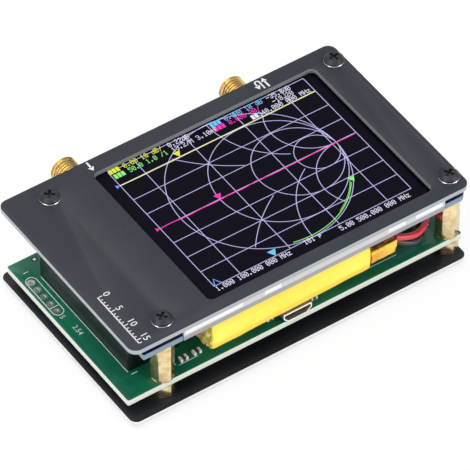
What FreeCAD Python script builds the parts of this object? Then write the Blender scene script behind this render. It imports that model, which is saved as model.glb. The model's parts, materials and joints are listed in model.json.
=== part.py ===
# Handheld antenna analyzer: an open stack of a back plate, a main circuit board, a display
# module and a windowed front panel, held at its four corners by brass standoffs.
# Millimetres. +Z points up through the panel, +Y towards the two coaxial ports, +X towards the
# short edge with the buttons. The origin is under the middle of the part, where it rests.
import FreeCAD, Part
import math
import os
import re
import Sketcher
from FreeCAD import Placement, Rotation, Vector

os.makedirs("parts", exist_ok=True)
doc = FreeCAD.newDocument("Analyzer")

# Driving dimensions
SIZES = {
    "plate_length": 89.2,
    "plate_width": 53.6,
    "plate_thickness": 1.2,
    "plate_corner": 1.9,
    "panel_thickness": 1.2,
    "panel_corner": 2.2,
    "window_length": 59.4,
    "window_width": 46.0,
    "window_corner": 1.5,
    "window_shift_x": 7.25,
    "window_shift_y": -0.35,
    "board_length": 88.9,
    "board_width": 48.2,
    "board_thickness": 1.6,
    "board_corner": 0.5,
    "board_shift_x": 0.1,
    "board_shift_y": -0.15,
    "module_length": 85.6,
    "module_width": 50.9,
    "module_thickness": 1.6,
    "module_corner": 1.8,
    "module_corner_left": 0.3,
    "module_shift_x": 1.8,
    "lower_standoff_length": 3.5,
    "upper_standoff_length": 12.0,
    "panel_spacer_length": 2.8,
    "standoff_flats": 4.8,
    "standoff_bore": 3.0,
    "hole_spacing_x": 76.0,
    "hole_spacing_y": 44.0,
    "hole_shift_x": 4.1,
    "screw_hole": 3.2,
    "screw_shank": 2.9,
    "screw_head": 4.7,
    "screw_head_height": 1.2,
    "screw_crown": 3.1,
    "screw_rim": 0.45,
    "screw_recess_width": 2.5,
    "screw_recess_blade": 0.65,
    "screw_recess_depth": 0.8,
    "plate_screw_grip": 2.4,
    "panel_screw_grip": 4.0,
    "stud_grip": 1.0,
    "stud_floor": 3.0,
    "shield_length": 13.8,
    "shield_width": 35.6,
    "shield_height": 7.0,
    "shield_wall": 0.3,
    "shield_corner": 0.8,
    "shield_gap": 2.2,
    "shield_shift_y": 0.6,
    "lcd_length": 69.2,
    "lcd_width": 49.8,
    "lcd_thickness": 2.6,
    "lcd_shift_x": 4.0,
    "lcd_wall": 1.3,
    "lcd_floor": 0.4,
    "lcd_lip": 0.67,
    "lcd_lip_thickness": 0.8,
    "lcd_lip_gap": 0.15,
    "backlight_thickness": 1.0,
    "glass_thickness": 1.1,
    "glass_gap": 0.1,
    "cell_length": 43.7,
    "cell_width": 30.0,
    "cell_thickness": 8.0,
    "cell_round": 2.2,
    "cell_bottom_round": 1.2,
    "cell_end_round": 0.9,
    "cell_shift_x": -23.5,
    "cell_shift_y": -24.9,
    "cell_turn": 0.9,
    "cell_lift": 2.7,
    "cell_head_length": 7.4,
    "cell_head_inset": 0.4,
    "cell_head_thickness": 4.9,
    "cell_head_lift": 0.5,
    "foam_length": 9.0,
    "foam_width": 20.0,
    "foam_inset": 4.0,
    "lead_diameter": 1.6,
    "lead_spacing": 2.0,
    "lead_gap": 0.5,
    "radio_chip_side": 4.0,
    "chip_thickness": 0.9,
    "port_spacing": 45.4,
    "port_shift_x": 3.0,
    "port_height": 4.2,
    "port_reach": 15.6,
    "port_thread": 6.35,
    "port_relief": 5.4,
    "port_relief_length": 1.6,
    "port_bore": 4.2,
    "port_bore_depth": 18.0,
    "port_block": 8.0,
    "port_block_depth": 6.4,
    "port_chamfer": 0.35,
    "port_leg": 1.0,
    "port_leg_spacing": 5.08,
    "port_leg_reach": 1.0,
    "port_face_recess": 0.5,
    "contact_diameter": 1.3,
    "contact_bore": 0.9,
    "fit_gap": 0.05,
    "usb_width": 7.5,
    "usb_height": 2.6,
    "usb_depth": 5.2,
    "usb_wall": 0.3,
    "usb_slope": 1.3,
    "usb_proud": 0.4,
    "usb_shift_x": 0.0,
    "tongue_width": 3.8,
    "tongue_thickness": 0.65,
    "tongue_length": 3.6,
    "pad_pitch": 2.54,
    "pad_count": 5,
    "pad_hole": 1.0,
    "pad_inset": 1.85,
    "pad_start_y": 16.9,
    "button_width": 6.0,
    "button_depth": 3.2,
    "button_height": 3.5,
    "button_pitch": 6.8,
    "button_start_y": 1.4,
    "plunger_width": 3.0,
    "plunger_height": 1.6,
    "plunger_tail": 0.8,
    "button_travel": 0.25,
    "control_reach": 1.8,
    "control_gap": 0.12,
    "switch_width": 8.4,
    "switch_depth": 3.2,
    "switch_height": 3.5,
    "switch_shift_y": -10.8,
    "knob_width": 2.0,
    "knob_height": 1.5,
    "knob_tail": 1.0,
    "knob_travel": 2.0,
    "pin_count": 12,
    "pin_pitch": 2.54,
    "pin_side": 0.64,
    "pin_shift_x": 2.6,
    "pin_inset_y": 2.9,
    "pin_below": 1.2,
    "pin_above": 6.5,
    "pin_base_height": 2.5,
    "pin_strip_width": 2.5,
    "pin_socket_height": 8.5,
    "plug_width": 5.6,
    "plug_length": 6.2,
    "plug_height": 3.6,
    "plug_lift": 1.1,
    "plug_inset": 7.05,
    "plug_front_y": -10.35,
    "plug_insert": 4.2,
    "socket_wall": 0.8,
    "socket_length": 6.4,
}

sheet = doc.addObject("Spreadsheet::Sheet", "Sizes")
for row, (alias, number) in enumerate(SIZES.items(), start=1):
    sheet.set("A%d" % row, alias)
    sheet.set("B%d" % row, str(number))
    sheet.setAlias("B%d" % row, alias)

# Levels and places that follow from the sizes: the stack is summed upwards from the rest plane,
# and the whole part is shifted so that its box stands centred over the origin.
PLACES = {
    "middle_x": "-control_overhang / 2",
    "middle_y": "-port_overhang / 2",
    "control_overhang": "board_right_edge + control_reach - plate_length / 2",
    "board_right_edge": "board_shift_x + board_length / 2",
    "board_left_edge": "board_shift_x - board_length / 2",
    "board_front_edge": "board_shift_y - board_width / 2",
    "board_back_edge": "board_shift_y + board_width / 2",
    "port_overhang": "board_back_edge + port_reach - plate_width / 2",
    "plate_bottom": "screw_head_height",
    "plate_top": "plate_bottom + plate_thickness",
    "board_bottom": "plate_top + lower_standoff_length",
    "board_top": "board_bottom + board_thickness",
    "module_bottom": "board_top + upper_standoff_length",
    "module_top": "module_bottom + module_thickness",
    "panel_bottom": "module_top + panel_spacer_length",
    "panel_top": "panel_bottom + panel_thickness",
    "port_axis": "board_top + port_height",
    "lip_front": "-lcd_width / 2 - lcd_lip",
    "lip_recess_depth": "lip_front + lcd_lip_thickness + lcd_lip_gap + module_width / 2",
    "cell_bottom": "board_top + cell_lift",
    "plug_x": "board_right_edge - plug_inset",
    "shield_x": "cell_shift_x - shield_gap - shield_length / 2",
}
places = doc.addObject("Spreadsheet::Sheet", "Places")


def bound(expression):
    """Writes an expression of bare names as one that reads the two sheets."""
    def full_name(found):
        word = found.group(0)
        if word in SIZES:
            return "Sizes." + word
        return "Places." + word if word in PLACES else word
    return re.sub(r"[a-z][a-z_0-9]*", full_name, expression)


for row, (alias, expression) in enumerate(PLACES.items(), start=1):
    places.set("A%d" % row, alias)
    places.setAlias("B%d" % row, alias)
for row, (alias, expression) in enumerate(PLACES.items(), start=1):
    places.set("B%d" % row, "=" + bound(expression).replace("Places.", ""))
doc.recompute()


def size(name):
    """The number that a sheet holds under this name."""
    return float(sheet.get(name) if name in SIZES else places.get(name))


def bind(item, **expressions):
    """Binds properties of an object to sheet expressions."""
    for key, expression in expressions.items():
        item.setExpression(key.replace("__", "."), bound(expression))


def put(item, x="0", y="0", z="0"):
    """Places an object by expressions measured from the plate's middle and the rest plane."""
    item.setExpression("Placement.Base.x", bound("middle_x + " + x))
    item.setExpression("Placement.Base.y", bound("middle_y + " + y))
    item.setExpression("Placement.Base.z", bound(z))
    return item


nodes = []


def node(item, label):
    """Names a finished sub-part, whose label is its file's name."""
    item.Label = label
    nodes.append(item)
    return item


def box(name, length, width, height, x="0", y="0", z="0"):
    """A box whose base is centred on x, y and starts at z."""
    item = doc.addObject("Part::Box", name)
    bind(item, Length=length, Width=width, Height=height)
    item.setExpression("Placement.Base.x", bound("(%s) - (%s) / 2" % (x, length)))
    item.setExpression("Placement.Base.y", bound("(%s) - (%s) / 2" % (y, width)))
    item.setExpression("Placement.Base.z", bound(z))
    return item


def cylinder(name, diameter, height, x="0", y="0", z="0"):
    item = doc.addObject("Part::Cylinder", name)
    bind(item, Radius="(%s) / 2" % diameter, Height=height)
    item.setExpression("Placement.Base.x", bound(x))
    item.setExpression("Placement.Base.y", bound(y))
    item.setExpression("Placement.Base.z", bound(z))
    return item


def cut(name, base, *tools):
    item = doc.addObject("Part::Cut", name)
    item.Base = base
    item.Tool = tools[0] if len(tools) == 1 else group(name + "_tools", *tools)
    return item


def group(name, *items):
    """Several solids kept side by side in one object."""
    item = doc.addObject("Part::Compound", name)
    item.Links = list(items)
    return item


def fuse(name, *items):
    item = doc.addObject("Part::MultiFuse", name)
    item.Shapes = list(items)
    return item


def plane(body, role):
    return [part for part in body.Origin.OriginFeatures if part.Role == role][0]


def sketch_on(body, name, role="XY_Plane", **offset):
    """A sketch on one of the body's own origin planes, moved by sheet expressions."""
    sketch = body.newObject("Sketcher::SketchObject", name)
    sketch.AttachmentSupport = (plane(body, role), [""])
    sketch.MapMode = "FlatFace"
    for key, expression in offset.items():
        sketch.setExpression("AttachmentOffset.Base." + key, bound(expression))
    return sketch


def draw_rectangle(sketch, length, width, construction=False):
    """A rectangle about the sketch's origin with both sides driven by the sheet."""
    start = sketch.GeometryCount
    half_x, half_y = size("hole_spacing_x") / 2, size("hole_spacing_y") / 2
    corners = [Vector(-half_x, -half_y), Vector(half_x, -half_y),
               Vector(half_x, half_y), Vector(-half_x, half_y)]
    for index in range(4):
        sketch.addGeometry(Part.LineSegment(corners[index], corners[(index + 1) % 4]), construction)
    for index in range(4):
        following = start + (index + 1) % 4
        sketch.addConstraint(Sketcher.Constraint("Coincident", start + index, 2, following, 1))
    sketch.addConstraint(Sketcher.Constraint("Horizontal", start))
    sketch.addConstraint(Sketcher.Constraint("Vertical", start + 1))
    sketch.addConstraint(Sketcher.Constraint("Horizontal", start + 2))
    sketch.addConstraint(Sketcher.Constraint("Vertical", start + 3))
    sketch.addConstraint(Sketcher.Constraint("Symmetric", start, 1, start + 2, 1, -1, 1))
    across = sketch.addConstraint(Sketcher.Constraint("DistanceX", start, 1, start, 2, 2 * half_x))
    up = sketch.addConstraint(Sketcher.Constraint("DistanceY", start + 1, 1, start + 1, 2, 2 * half_y))
    sketch.setExpression("Constraints[%d]" % across, bound(length))
    sketch.setExpression("Constraints[%d]" % up, bound(width))
    return start


def draw_circle(sketch, diameter, point=None):
    """A circle at the sketch's origin, or at a corner of its construction rectangle."""
    ring = sketch.addGeometry(Part.Circle(Vector(0, 0, 0), Vector(0, 0, 1), 1.0), False)
    target = point if point else (-1, 1)
    sketch.addConstraint(Sketcher.Constraint("Coincident", ring, 3, target[0], target[1]))
    driven = sketch.addConstraint(Sketcher.Constraint("Diameter", ring, 2.0))
    sketch.setExpression("Constraints[%d]" % driven, bound(diameter))
    return ring


def pad(body, name, sketch, length):
    item = body.newObject("PartDesign::Pad", name)
    item.Profile = sketch
    bind(item, Length=length)
    doc.recompute()
    return item


def pocket(body, name, sketch):
    """A cut through everything, to both sides of the sketch."""
    item = body.newObject("PartDesign::Pocket", name)
    item.Profile = sketch
    item.Type = 1
    item.Midplane = True
    doc.recompute()
    return item


def upright_edges(feature, half_length, half_width):
    """Names of the vertical edges at the four corners of a centred rectangle."""
    found = []
    for index, edge in enumerate(feature.Shape.Edges, start=1):
        if len(edge.Vertexes) != 2:
            continue
        low, high = edge.Vertexes[0].Point, edge.Vertexes[1].Point
        level = abs(low.x - high.x) < 1e-6 and abs(low.y - high.y) < 1e-6
        if level and abs(abs(low.x) - half_length) < 1e-4 and abs(abs(low.y) - half_width) < 1e-4:
            found.append("Edge%d" % index)
    return found


def round_corners(body, name, feature, radius, half_length, half_width):
    item = body.newObject("PartDesign::Fillet", name)
    item.Base = (feature, upright_edges(feature, half_length, half_width))
    bind(item, Radius=radius)
    doc.recompute()
    return item


def sheet_body(label, length, width, thickness, corner):
    """A flat board with rounded corners, the start of the plate, panel and circuit boards."""
    body = doc.addObject("PartDesign::Body", label + "_body")
    outline = sketch_on(body, label + "_outline")
    draw_rectangle(outline, length, width)
    blank = pad(body, label + "_blank", outline, thickness)
    round_corners(body, label + "_corners", blank, corner, size(length) / 2, size(width) / 2)
    return body


def screw_holes(body, label, shift_x, shift_y="0"):
    """The four corner holes, at the one spacing that the whole stack shares."""
    sketch = sketch_on(body, label + "_screw_holes", x=shift_x, y=shift_y)
    frame = draw_rectangle(sketch, "hole_spacing_x", "hole_spacing_y", construction=True)
    for side in range(4):
        draw_circle(sketch, "screw_hole", (frame + side, 1))
    pocket(body, label + "_screw_cut", sketch)


# Places of the four screws, from the plate's middle, with the turn of each hexagon
CORNERS = (
    ("front_left", "hole_shift_x - hole_spacing_x / 2", "-hole_spacing_y / 2", 39.0),
    ("front_right", "hole_shift_x + hole_spacing_x / 2", "-hole_spacing_y / 2", 29.5),
    ("back_right", "hole_shift_x + hole_spacing_x / 2", "hole_spacing_y / 2", 8.0),
    ("back_left", "hole_shift_x - hole_spacing_x / 2", "hole_spacing_y / 2", 52.0),
)


# Back plate: black glass-fibre sheet that closes the stack underneath
def make_back_plate():
    body = sheet_body("back_plate", "plate_length", "plate_width", "plate_thickness", "plate_corner")
    screw_holes(body, "back_plate", "hole_shift_x")
    put(body, z="plate_bottom")
    return node(body, "back_plate")


# Front panel: the same outline as the back plate with a window for the screen
def make_front_panel():
    body = sheet_body("front_panel", "plate_length", "plate_width", "panel_thickness", "panel_corner")
    screw_holes(body, "front_panel", "hole_shift_x")
    window = sketch_on(body, "window_outline", x="window_shift_x", y="window_shift_y")
    draw_rectangle(window, "window_length", "window_width")
    opening = pocket(body, "window_cut", window)
    corners = []
    for index, edge in enumerate(opening.Shape.Edges, start=1):
        if len(edge.Vertexes) != 2:
            continue
        low, high = edge.Vertexes[0].Point, edge.Vertexes[1].Point
        upright = abs(low.x - high.x) < 1e-6 and abs(low.y - high.y) < 1e-6
        reach_x = abs(abs(low.x - size("window_shift_x")) - size("window_length") / 2)
        reach_y = abs(abs(low.y - size("window_shift_y")) - size("window_width") / 2)
        if upright and reach_x < 1e-4 and reach_y < 1e-4:
            corners.append("Edge%d" % index)
    rounding = body.newObject("PartDesign::Fillet", "window_corners")
    rounding.Base = (opening, corners)
    bind(rounding, Radius="window_corner")
    put(body, z="panel_bottom")
    return node(body, "front_panel")


# Main board: holes for the stack, for the five test pads, and for the legs of ports and header
def make_main_board():
    body = sheet_body("main_board", "board_length", "board_width", "board_thickness", "board_corner")
    screw_holes(body, "main_board", "hole_shift_x - board_shift_x", "-board_shift_y")
    pads = sketch_on(body, "pad_holes", x="pad_inset - board_length / 2", y="pad_start_y - board_shift_y")
    draw_circle(pads, "pad_hole")
    first = pocket(body, "pad_hole_cut", pads)
    row = body.newObject("PartDesign::LinearPattern", "pad_row")
    row.Originals = [first]
    row.Direction = (pads, ["V_Axis"])
    row.Reversed = True
    bind(row, Length="pad_pitch * (pad_count - 1)", Occurrences="pad_count")
    body.Tip = row
    doc.recompute()
    pins = sketch_on(body, "pin_holes",
                     x="pin_shift_x - board_shift_x - pin_pitch * (pin_count - 1) / 2",
                     y="board_width / 2 - pin_inset_y")
    draw_circle(pins, "pad_hole")
    first_pin = pocket(body, "pin_hole_cut", pins)
    pin_row = body.newObject("PartDesign::LinearPattern", "pin_row")
    pin_row.Originals = [first_pin]
    pin_row.Direction = (pins, ["H_Axis"])
    bind(pin_row, Length="pin_pitch * (pin_count - 1)", Occurrences="pin_count")
    body.Tip = pin_row
    doc.recompute()
    for side, sign in (("left", "-"), ("right", "+")):
        legs = sketch_on(body, side + "_port_legs",
                         x="port_shift_x %s port_spacing / 2 - board_shift_x" % sign,
                         y="board_width / 2 - port_block_depth / 2")
        frame = draw_rectangle(legs, "port_leg_spacing", "port_block_depth - port_leg * 1.5",
                               construction=True)
        for corner in range(4):
            draw_circle(legs, "port_leg * 1.6", (frame + corner, 1))
        pocket(body, side + "_port_leg_cut", legs)
    put(body, "board_shift_x", "board_shift_y", "board_bottom")
    return node(body, "main_board")


# Display module's own circuit board. Its left corners are nearly sharp and its right ones round,
# and a recess in its front edge leaves a tab at each end, for the lip of the display's tray.
def make_display_board():
    body = doc.addObject("PartDesign::Body", "display_board_body")
    outline = sketch_on(body, "display_board_outline")
    draw_rectangle(outline, "module_length", "module_width")
    blank = pad(body, "display_board_blank", outline, "module_thickness")
    half_length, half_width = size("module_length") / 2, size("module_width") / 2
    for side, sign, radius in (("right", 1, "module_corner"), ("left", -1, "module_corner_left")):
        edges = [name for name in upright_edges(blank, half_length, half_width)
                 if blank.Shape.getElement(name).Vertexes[0].X * sign > 0]
        rounding = body.newObject("PartDesign::Fillet", "display_board_%s_corners" % side)
        rounding.Base = (blank, edges)
        bind(rounding, Radius=radius)
        doc.recompute()
        blank = rounding
    screw_holes(body, "display_board", "hole_shift_x - module_shift_x")
    recess = sketch_on(body, "lip_recess", x="lcd_shift_x - module_shift_x", y="-module_width / 2")
    draw_rectangle(recess, "lcd_length + 2 * lcd_lip_gap", "2 * lip_recess_depth")
    pocket(body, "lip_recess_cut", recess)
    put(body, "module_shift_x", "0", "module_bottom")
    return node(body, "display_board")


def hexagon_post(name, length, turn, floor):
    """One brass hexagon, bored from its top down to its floor."""
    post = doc.addObject("Part::Prism", name + "_hex")
    post.Polygon = 6
    bind(post, Circumradius="standoff_flats / 2 / cos(30 deg)", Height=length)
    post.Placement = Placement(Vector(0, 0, 0), Rotation(Vector(0, 0, 1), turn))
    bore = cylinder(name + "_bore", "standoff_bore", length, z=floor)
    hollow = cut(name + "_hollow", post, bore)
    return hollow


def stack_posts(label, length, z, stud=None):
    """Four posts at the screw places; a stud reaches down through the board when given."""
    posts = []
    for name, x, y, turn in CORNERS:
        key = "%s_%s" % (label, name)
        piece = hexagon_post(key, length, turn, "stud_floor" if stud else "0")
        if stud:
            foot = "%s + stud_grip" % stud
            shaft = cylinder(key + "_stud", "screw_shank", "%s + stud_floor / 2" % foot,
                             z="-(%s)" % foot)
            piece = fuse(key + "_post", piece, shaft)
        put(piece, x, y, z)
        posts.append(piece)
    return node(group(label + "_group", *posts), label)


def make_screws(label, head_level, upwards, grip):
    """Four pan-head cross-recess screws; the heads face down on the plate and up on the panel."""
    screws = []
    for name, x, y, turn in CORNERS:
        key = "%s_%s" % (label, name)
        body = doc.addObject("PartDesign::Body", key)
        profile = sketch_on(body, key + "_profile", "XZ_Plane")
        corners = ((0, 1.2), (1.6, 1.2), (2.6, 0.4), (2.6, 0), (1.4, 0), (1.4, -5), (0, -5))
        for start, end in zip(corners, corners[1:] + corners[:1]):
            profile.addGeometry(Part.LineSegment(Vector(*start), Vector(*end)), False)
        for line in range(7):
            profile.addConstraint(Sketcher.Constraint("Coincident", line, 2, (line + 1) % 7, 1))
        for line in (0, 3, 5):
            profile.addConstraint(Sketcher.Constraint("Horizontal", line))
        for line in (2, 4, 6):
            profile.addConstraint(Sketcher.Constraint("Vertical", line))
        profile.addConstraint(Sketcher.Constraint("PointOnObject", 0, 1, -2))
        profile.addConstraint(Sketcher.Constraint("PointOnObject", 3, 1, -1))
        drives = (("DistanceX", -1, 1, 0, 2, "screw_crown / 2"),
                  ("DistanceX", -1, 1, 3, 1, "screw_head / 2"),
                  ("DistanceX", -1, 1, 3, 2, "screw_shank / 2"),
                  ("DistanceY", -1, 1, 0, 1, "screw_head_height"),
                  ("DistanceY", 2, 2, 2, 1, "screw_rim"),
                  ("DistanceY", 4, 2, 4, 1, grip))
        for kind, one, one_end, two, two_end, expression in drives:
            at = profile.addConstraint(Sketcher.Constraint(kind, one, one_end, two, two_end, 1.0))
            profile.setExpression("Constraints[%d]" % at, bound(expression))
        turned = body.newObject("PartDesign::Revolution", key + "_turned")
        turned.Profile = profile
        turned.ReferenceAxis = (profile, ["V_Axis"])
        turned.Angle = 360
        doc.recompute()
        for arm, (long_side, short_side) in enumerate((("screw_recess_width", "screw_recess_blade"),
                                                       ("screw_recess_blade", "screw_recess_width"))):
            recess = sketch_on(body, "%s_recess_%d" % (key, arm),
                               z="screw_head_height - screw_recess_depth")
            draw_rectangle(recess, long_side, short_side)
            slot = body.newObject("PartDesign::Pocket", "%s_slot_%d" % (key, arm))
            slot.Profile = recess
            slot.Reversed = True
            slot.Type = 0
            bind(slot, Length="screw_recess_depth * 2")
            doc.recompute()
        spin = Rotation(Vector(0, 0, 1), turn)
        flip = Rotation() if upwards else Rotation(Vector(1, 0, 0), 180)
        body.Placement = Placement(Vector(0, 0, 0), flip.multiply(spin))
        put(body, x, y, head_level)
        screws.append(body)
    return node(group(label + "_group", *screws), label)


# Shield can: a thin folded box over the radio chips, open underneath
def make_shield():
    body = doc.addObject("PartDesign::Body", "rf_shield_body")
    outline = sketch_on(body, "shield_outline")
    draw_rectangle(outline, "shield_length", "shield_width")
    blank = pad(body, "shield_blank", outline, "shield_height")
    half_length, half_width = size("shield_length") / 2, size("shield_width") / 2
    corners = round_corners(body, "shield_corners", blank, "shield_corner", half_length, half_width)
    top = []
    for index, edge in enumerate(corners.Shape.Edges, start=1):
        if min(vertex.Z for vertex in edge.Vertexes) > size("shield_height") - 1e-6:
            top.append("Edge%d" % index)
    folds = body.newObject("PartDesign::Fillet", "shield_folds")
    folds.Base = (corners, top)
    bind(folds, Radius="shield_corner * 0.75")
    doc.recompute()
    floor = [index for index, face in enumerate(folds.Shape.Faces, start=1)
             if face.BoundBox.ZMax < 1e-6]
    hollow = body.newObject("PartDesign::Thickness", "shield_hollow")
    hollow.Base = (folds, ["Face%d" % floor[0]])
    bind(hollow, Value="shield_wall")
    hollow.Reversed = True
    hollow.Join = 0
    doc.recompute()
    put(body, "shield_x", "shield_shift_y", "board_top")
    return node(body, "rf_shield")


# Radio chips under the shield
def make_radio_chips():
    middle_y = "middle_y + shield_shift_y"
    chips = []
    for name, share, scale in (("synthesizer", -0.31, 1.25), ("mixer", -0.06, 1.0),
                               ("coupler", 0.14, 0.75), ("receiver", 0.34, 1.0)):
        side = "radio_chip_side * %s" % scale
        chip = box(name + "_chip", side, side, "chip_thickness", "middle_x + shield_x",
                   "%s + shield_width * (%s)" % (middle_y, share), "board_top")
        chips.append(chip)
    return node(group("radio_chips_group", *chips), "radio_chips")


# Display: white tray, light guide and glass, set on the display board under the panel's window
def make_display():
    x, y = "middle_x + lcd_shift_x", "middle_y"
    tray = box("tray_block", "lcd_length", "lcd_width", "lcd_thickness", x, y, "module_top")
    inner_length, inner_width = "lcd_length - 2 * lcd_wall", "lcd_width - 2 * lcd_wall"
    room = box("tray_room", inner_length, inner_width, "lcd_thickness", x, y, "module_top + lcd_floor")
    rounded = doc.addObject("Part::Fillet", "tray_rounded")
    rounded.Base = tray
    doc.recompute()
    uprights = []
    for index, edge in enumerate(tray.Shape.Edges, start=1):
        low, high = edge.Vertexes[0].Point, edge.Vertexes[1].Point
        if abs(low.x - high.x) < 1e-6 and abs(low.y - high.y) < 1e-6:
            uprights.append((index, 0.8, 0.8))
    rounded.Edges = uprights
    lip = box("tray_lip", "lcd_length", "lcd_lip_thickness", "module_thickness + lcd_thickness", x,
              "middle_y + lip_front + lcd_lip_thickness / 2", "module_bottom")
    node(fuse("tray_and_lip", cut("tray_cut", rounded, room), lip), "display_frame")
    gap = "glass_gap"
    guide = box("guide_sheet", "%s - 2 * %s" % (inner_length, gap), "%s - 2 * %s" % (inner_width, gap),
                "backlight_thickness", x, y, "module_top + lcd_floor")
    node(guide, "display_backlight")
    glass = box("glass_sheet", "%s - 2 * %s" % (inner_length, gap), "%s - 2 * %s" % (inner_width, gap),
                "glass_thickness", x, y, "module_top + lcd_floor + backlight_thickness")
    node(glass, "display_glass")


def turned_box(name, length, width, height, along, across, z):
    """A box in the battery's own frame: along and across run from its front left corner."""
    item = doc.addObject("Part::Box", name)
    bind(item, Length=length, Width=width, Height=height)
    turn = "(cell_turn * 1 deg)"
    bind_x = "middle_x + cell_shift_x + (%s) * cos%s - (%s) * sin%s" % (along, turn, across, turn)
    bind_y = "middle_y + cell_shift_y + (%s) * sin%s + (%s) * cos%s" % (along, turn, across, turn)
    item.setExpression("Placement.Rotation.Angle", bound("cell_turn"))
    item.setExpression("Placement.Base.x", bound(bind_x))
    item.setExpression("Placement.Base.y", bound(bind_y))
    item.setExpression("Placement.Base.z", bound(z))
    return item


def soft_edges(name, base, choose, radius):
    """Rounds the edges that the test picks, measured in the box's own frame."""
    doc.recompute()
    start = base.Base if hasattr(base, "Base") else base
    item = doc.addObject("Part::Fillet", name)
    item.Base = base
    back = start.Placement.inverse()
    picked = []
    for index, edge in enumerate(base.Shape.Edges, start=1):
        low = back.multVec(edge.Vertexes[0].Point)
        high = back.multVec(edge.Vertexes[-1].Point)
        if choose(low, high):
            picked.append((index, radius, radius))
    item.Edges = picked
    doc.recompute()
    return item


# Battery: a pouch cell in yellow tape with its taped safety circuit at one end, on foam pads
def make_battery():
    cell = turned_box("cell_block", "cell_length", "cell_width", "cell_thickness", "0", "0",
                      "cell_bottom")
    top_sides = soft_edges("cell_top_sides", cell, lambda low, high: abs(low.x - high.x) > 1.0
                           and low.z > size("cell_thickness") / 2, size("cell_round"))
    long_edges = soft_edges("cell_sides", top_sides, lambda low, high: abs(low.x - high.x) > 1.0
                            and abs(low.z) < 1e-6 and abs(high.z) < 1e-6
                            and min(low.y, size("cell_width") - low.y) < 1e-6,
                            size("cell_bottom_round"))
    node(long_edges, "battery_cell")
    inset = "cell_head_inset"
    head = turned_box("head_block", "cell_head_length", "cell_width - 2 * %s" % inset,
                      "cell_head_thickness", "cell_length", inset,
                      "cell_bottom + cell_head_lift")
    head_soft = soft_edges("head_sides", head, lambda low, high: abs(low.y - high.y) < 1.0
                           and low.x + high.x > 1.0, size("cell_end_round"))
    node(head_soft, "battery_safety_circuit")
    pads = []
    for key, along in (("left", "foam_inset"), ("right", "cell_length - foam_inset - foam_length")):
        pads.append(turned_box("foam_" + key, "foam_length", "foam_width", "cell_lift", along,
                               "(cell_width - foam_width) / 2", "board_top"))
    node(group("foam_group", *pads), "battery_foam_pads")


def smooth_path(points):
    """Straight runs joined by tangent arcs, each as large as its two runs allow."""
    share = 0.45
    edges = []
    start = points[0]
    radii = []
    for before, corner, after in zip(points, points[1:], points[2:]):
        into, out = (corner - before), (after - corner)
        reach = share * min(into.Length, out.Length)
        into.normalize()
        out.normalize()
        turn = into.getAngle(out)
        radius = reach / math.tan(turn / 2)
        radii.append(radius)
        first, last = corner - into * reach, corner + out * reach
        inward = (out - into)
        inward.normalize()
        centre = corner + inward * math.hypot(radius, reach)
        middle = centre - inward * radius
        edges.append(Part.LineSegment(start, first).toShape())
        edges.append(Part.Arc(first, middle, last).toShape())
        start = last
    edges.append(Part.LineSegment(start, points[-1]).toShape())
    return Part.Wire(edges), radii


def tube(points, diameter):
    path, radii = smooth_path(points)
    heading = points[1] - points[0]
    ring = Part.Wire(Part.makeCircle(diameter / 2, points[0], heading))
    shell = path.makePipeShell([ring], True, True)
    solid = shell if shell.ShapeType == "Solid" else Part.Solid(shell)
    expected = math.pi * diameter ** 2 / 4 * path.Length
    print("lead length %.2f, volume against section times length %.4f, radii %s"
          % (path.Length, solid.Volume / expected, ["%.1f" % radius for radius in radii]))
    return solid


# Battery leads: two soft insulated wires that loop from the cell's end to the plug. Each has
# its place across the cell's end, its side of the plug, its height there above the board, and
# the bends, each a share of the way with what it strays from the straight line.
LEADS = {
    "battery_lead_red": (2.2, 0.5, 6.3, ((0.25, 0.95, -3.9, -0.25), (0.5, 2.8, -5.0, -0.6),
                                         (0.8, 3.5, -4.55, -0.4))),
    "battery_lead_black": (3.3, -0.5, 4.3, ((0.25, 1.4, -4.3, -1.35), (0.5, 3.3, -5.8, -2.2),
                                            (0.8, 3.45, -4.15, -1.5))),
}


def make_leads():
    turn = math.radians(size("cell_turn"))
    along = size("cell_length") + size("cell_head_length") + size("lead_gap")
    shift = Vector(size("middle_x"), size("middle_y"), size("board_top"))
    plug_height = size("plug_lift") + size("plug_height") / 2
    for label, (across, side, height, bends) in LEADS.items():
        start = Vector(size("cell_shift_x") + along * math.cos(turn) - across * math.sin(turn),
                       size("cell_shift_y") + along * math.sin(turn) + across * math.cos(turn),
                       height)
        end = Vector(size("plug_x") + side * size("lead_spacing"),
                     size("plug_front_y") - size("lead_gap"), plug_height)
        points = [start] + [start + (end - start) * share + Vector(*stray)
                            for share, *stray in bends] + [end]
        lead = doc.addObject("Part::Feature", label + "_tube")
        lead.Shape = tube([point + shift for point in points], size("lead_diameter"))
        node(lead, label)


# Battery plug in its open shroud, on the board beside the short edge
def make_battery_connector():
    x = "middle_x + plug_x"
    front = "middle_y + plug_front_y"
    plug = box("plug_block", "plug_width", "plug_length", "plug_height", x,
               front + " + plug_length / 2", "board_top + plug_lift")
    node(plug, "battery_plug")
    wall, gap = "socket_wall", "control_gap"
    outer_width = "plug_width + 2 * (%s + %s)" % (gap, wall)
    outer_height = "plug_lift + plug_height + %s + %s" % (gap, wall)
    start = front + " + plug_length - plug_insert"
    shroud = box("socket_block", outer_width, "socket_length", outer_height, x,
                 start + " + socket_length / 2", "board_top")
    room_depth = "plug_insert + %s" % gap
    room = box("socket_room", "plug_width + 2 * %s" % gap, room_depth + " + 1",
               "plug_height + 2 * %s" % gap, x, start + " + (%s - 1) / 2" % room_depth,
               "board_top + plug_lift - %s" % gap)
    node(cut("socket_cut", shroud, room), "battery_socket")


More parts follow.
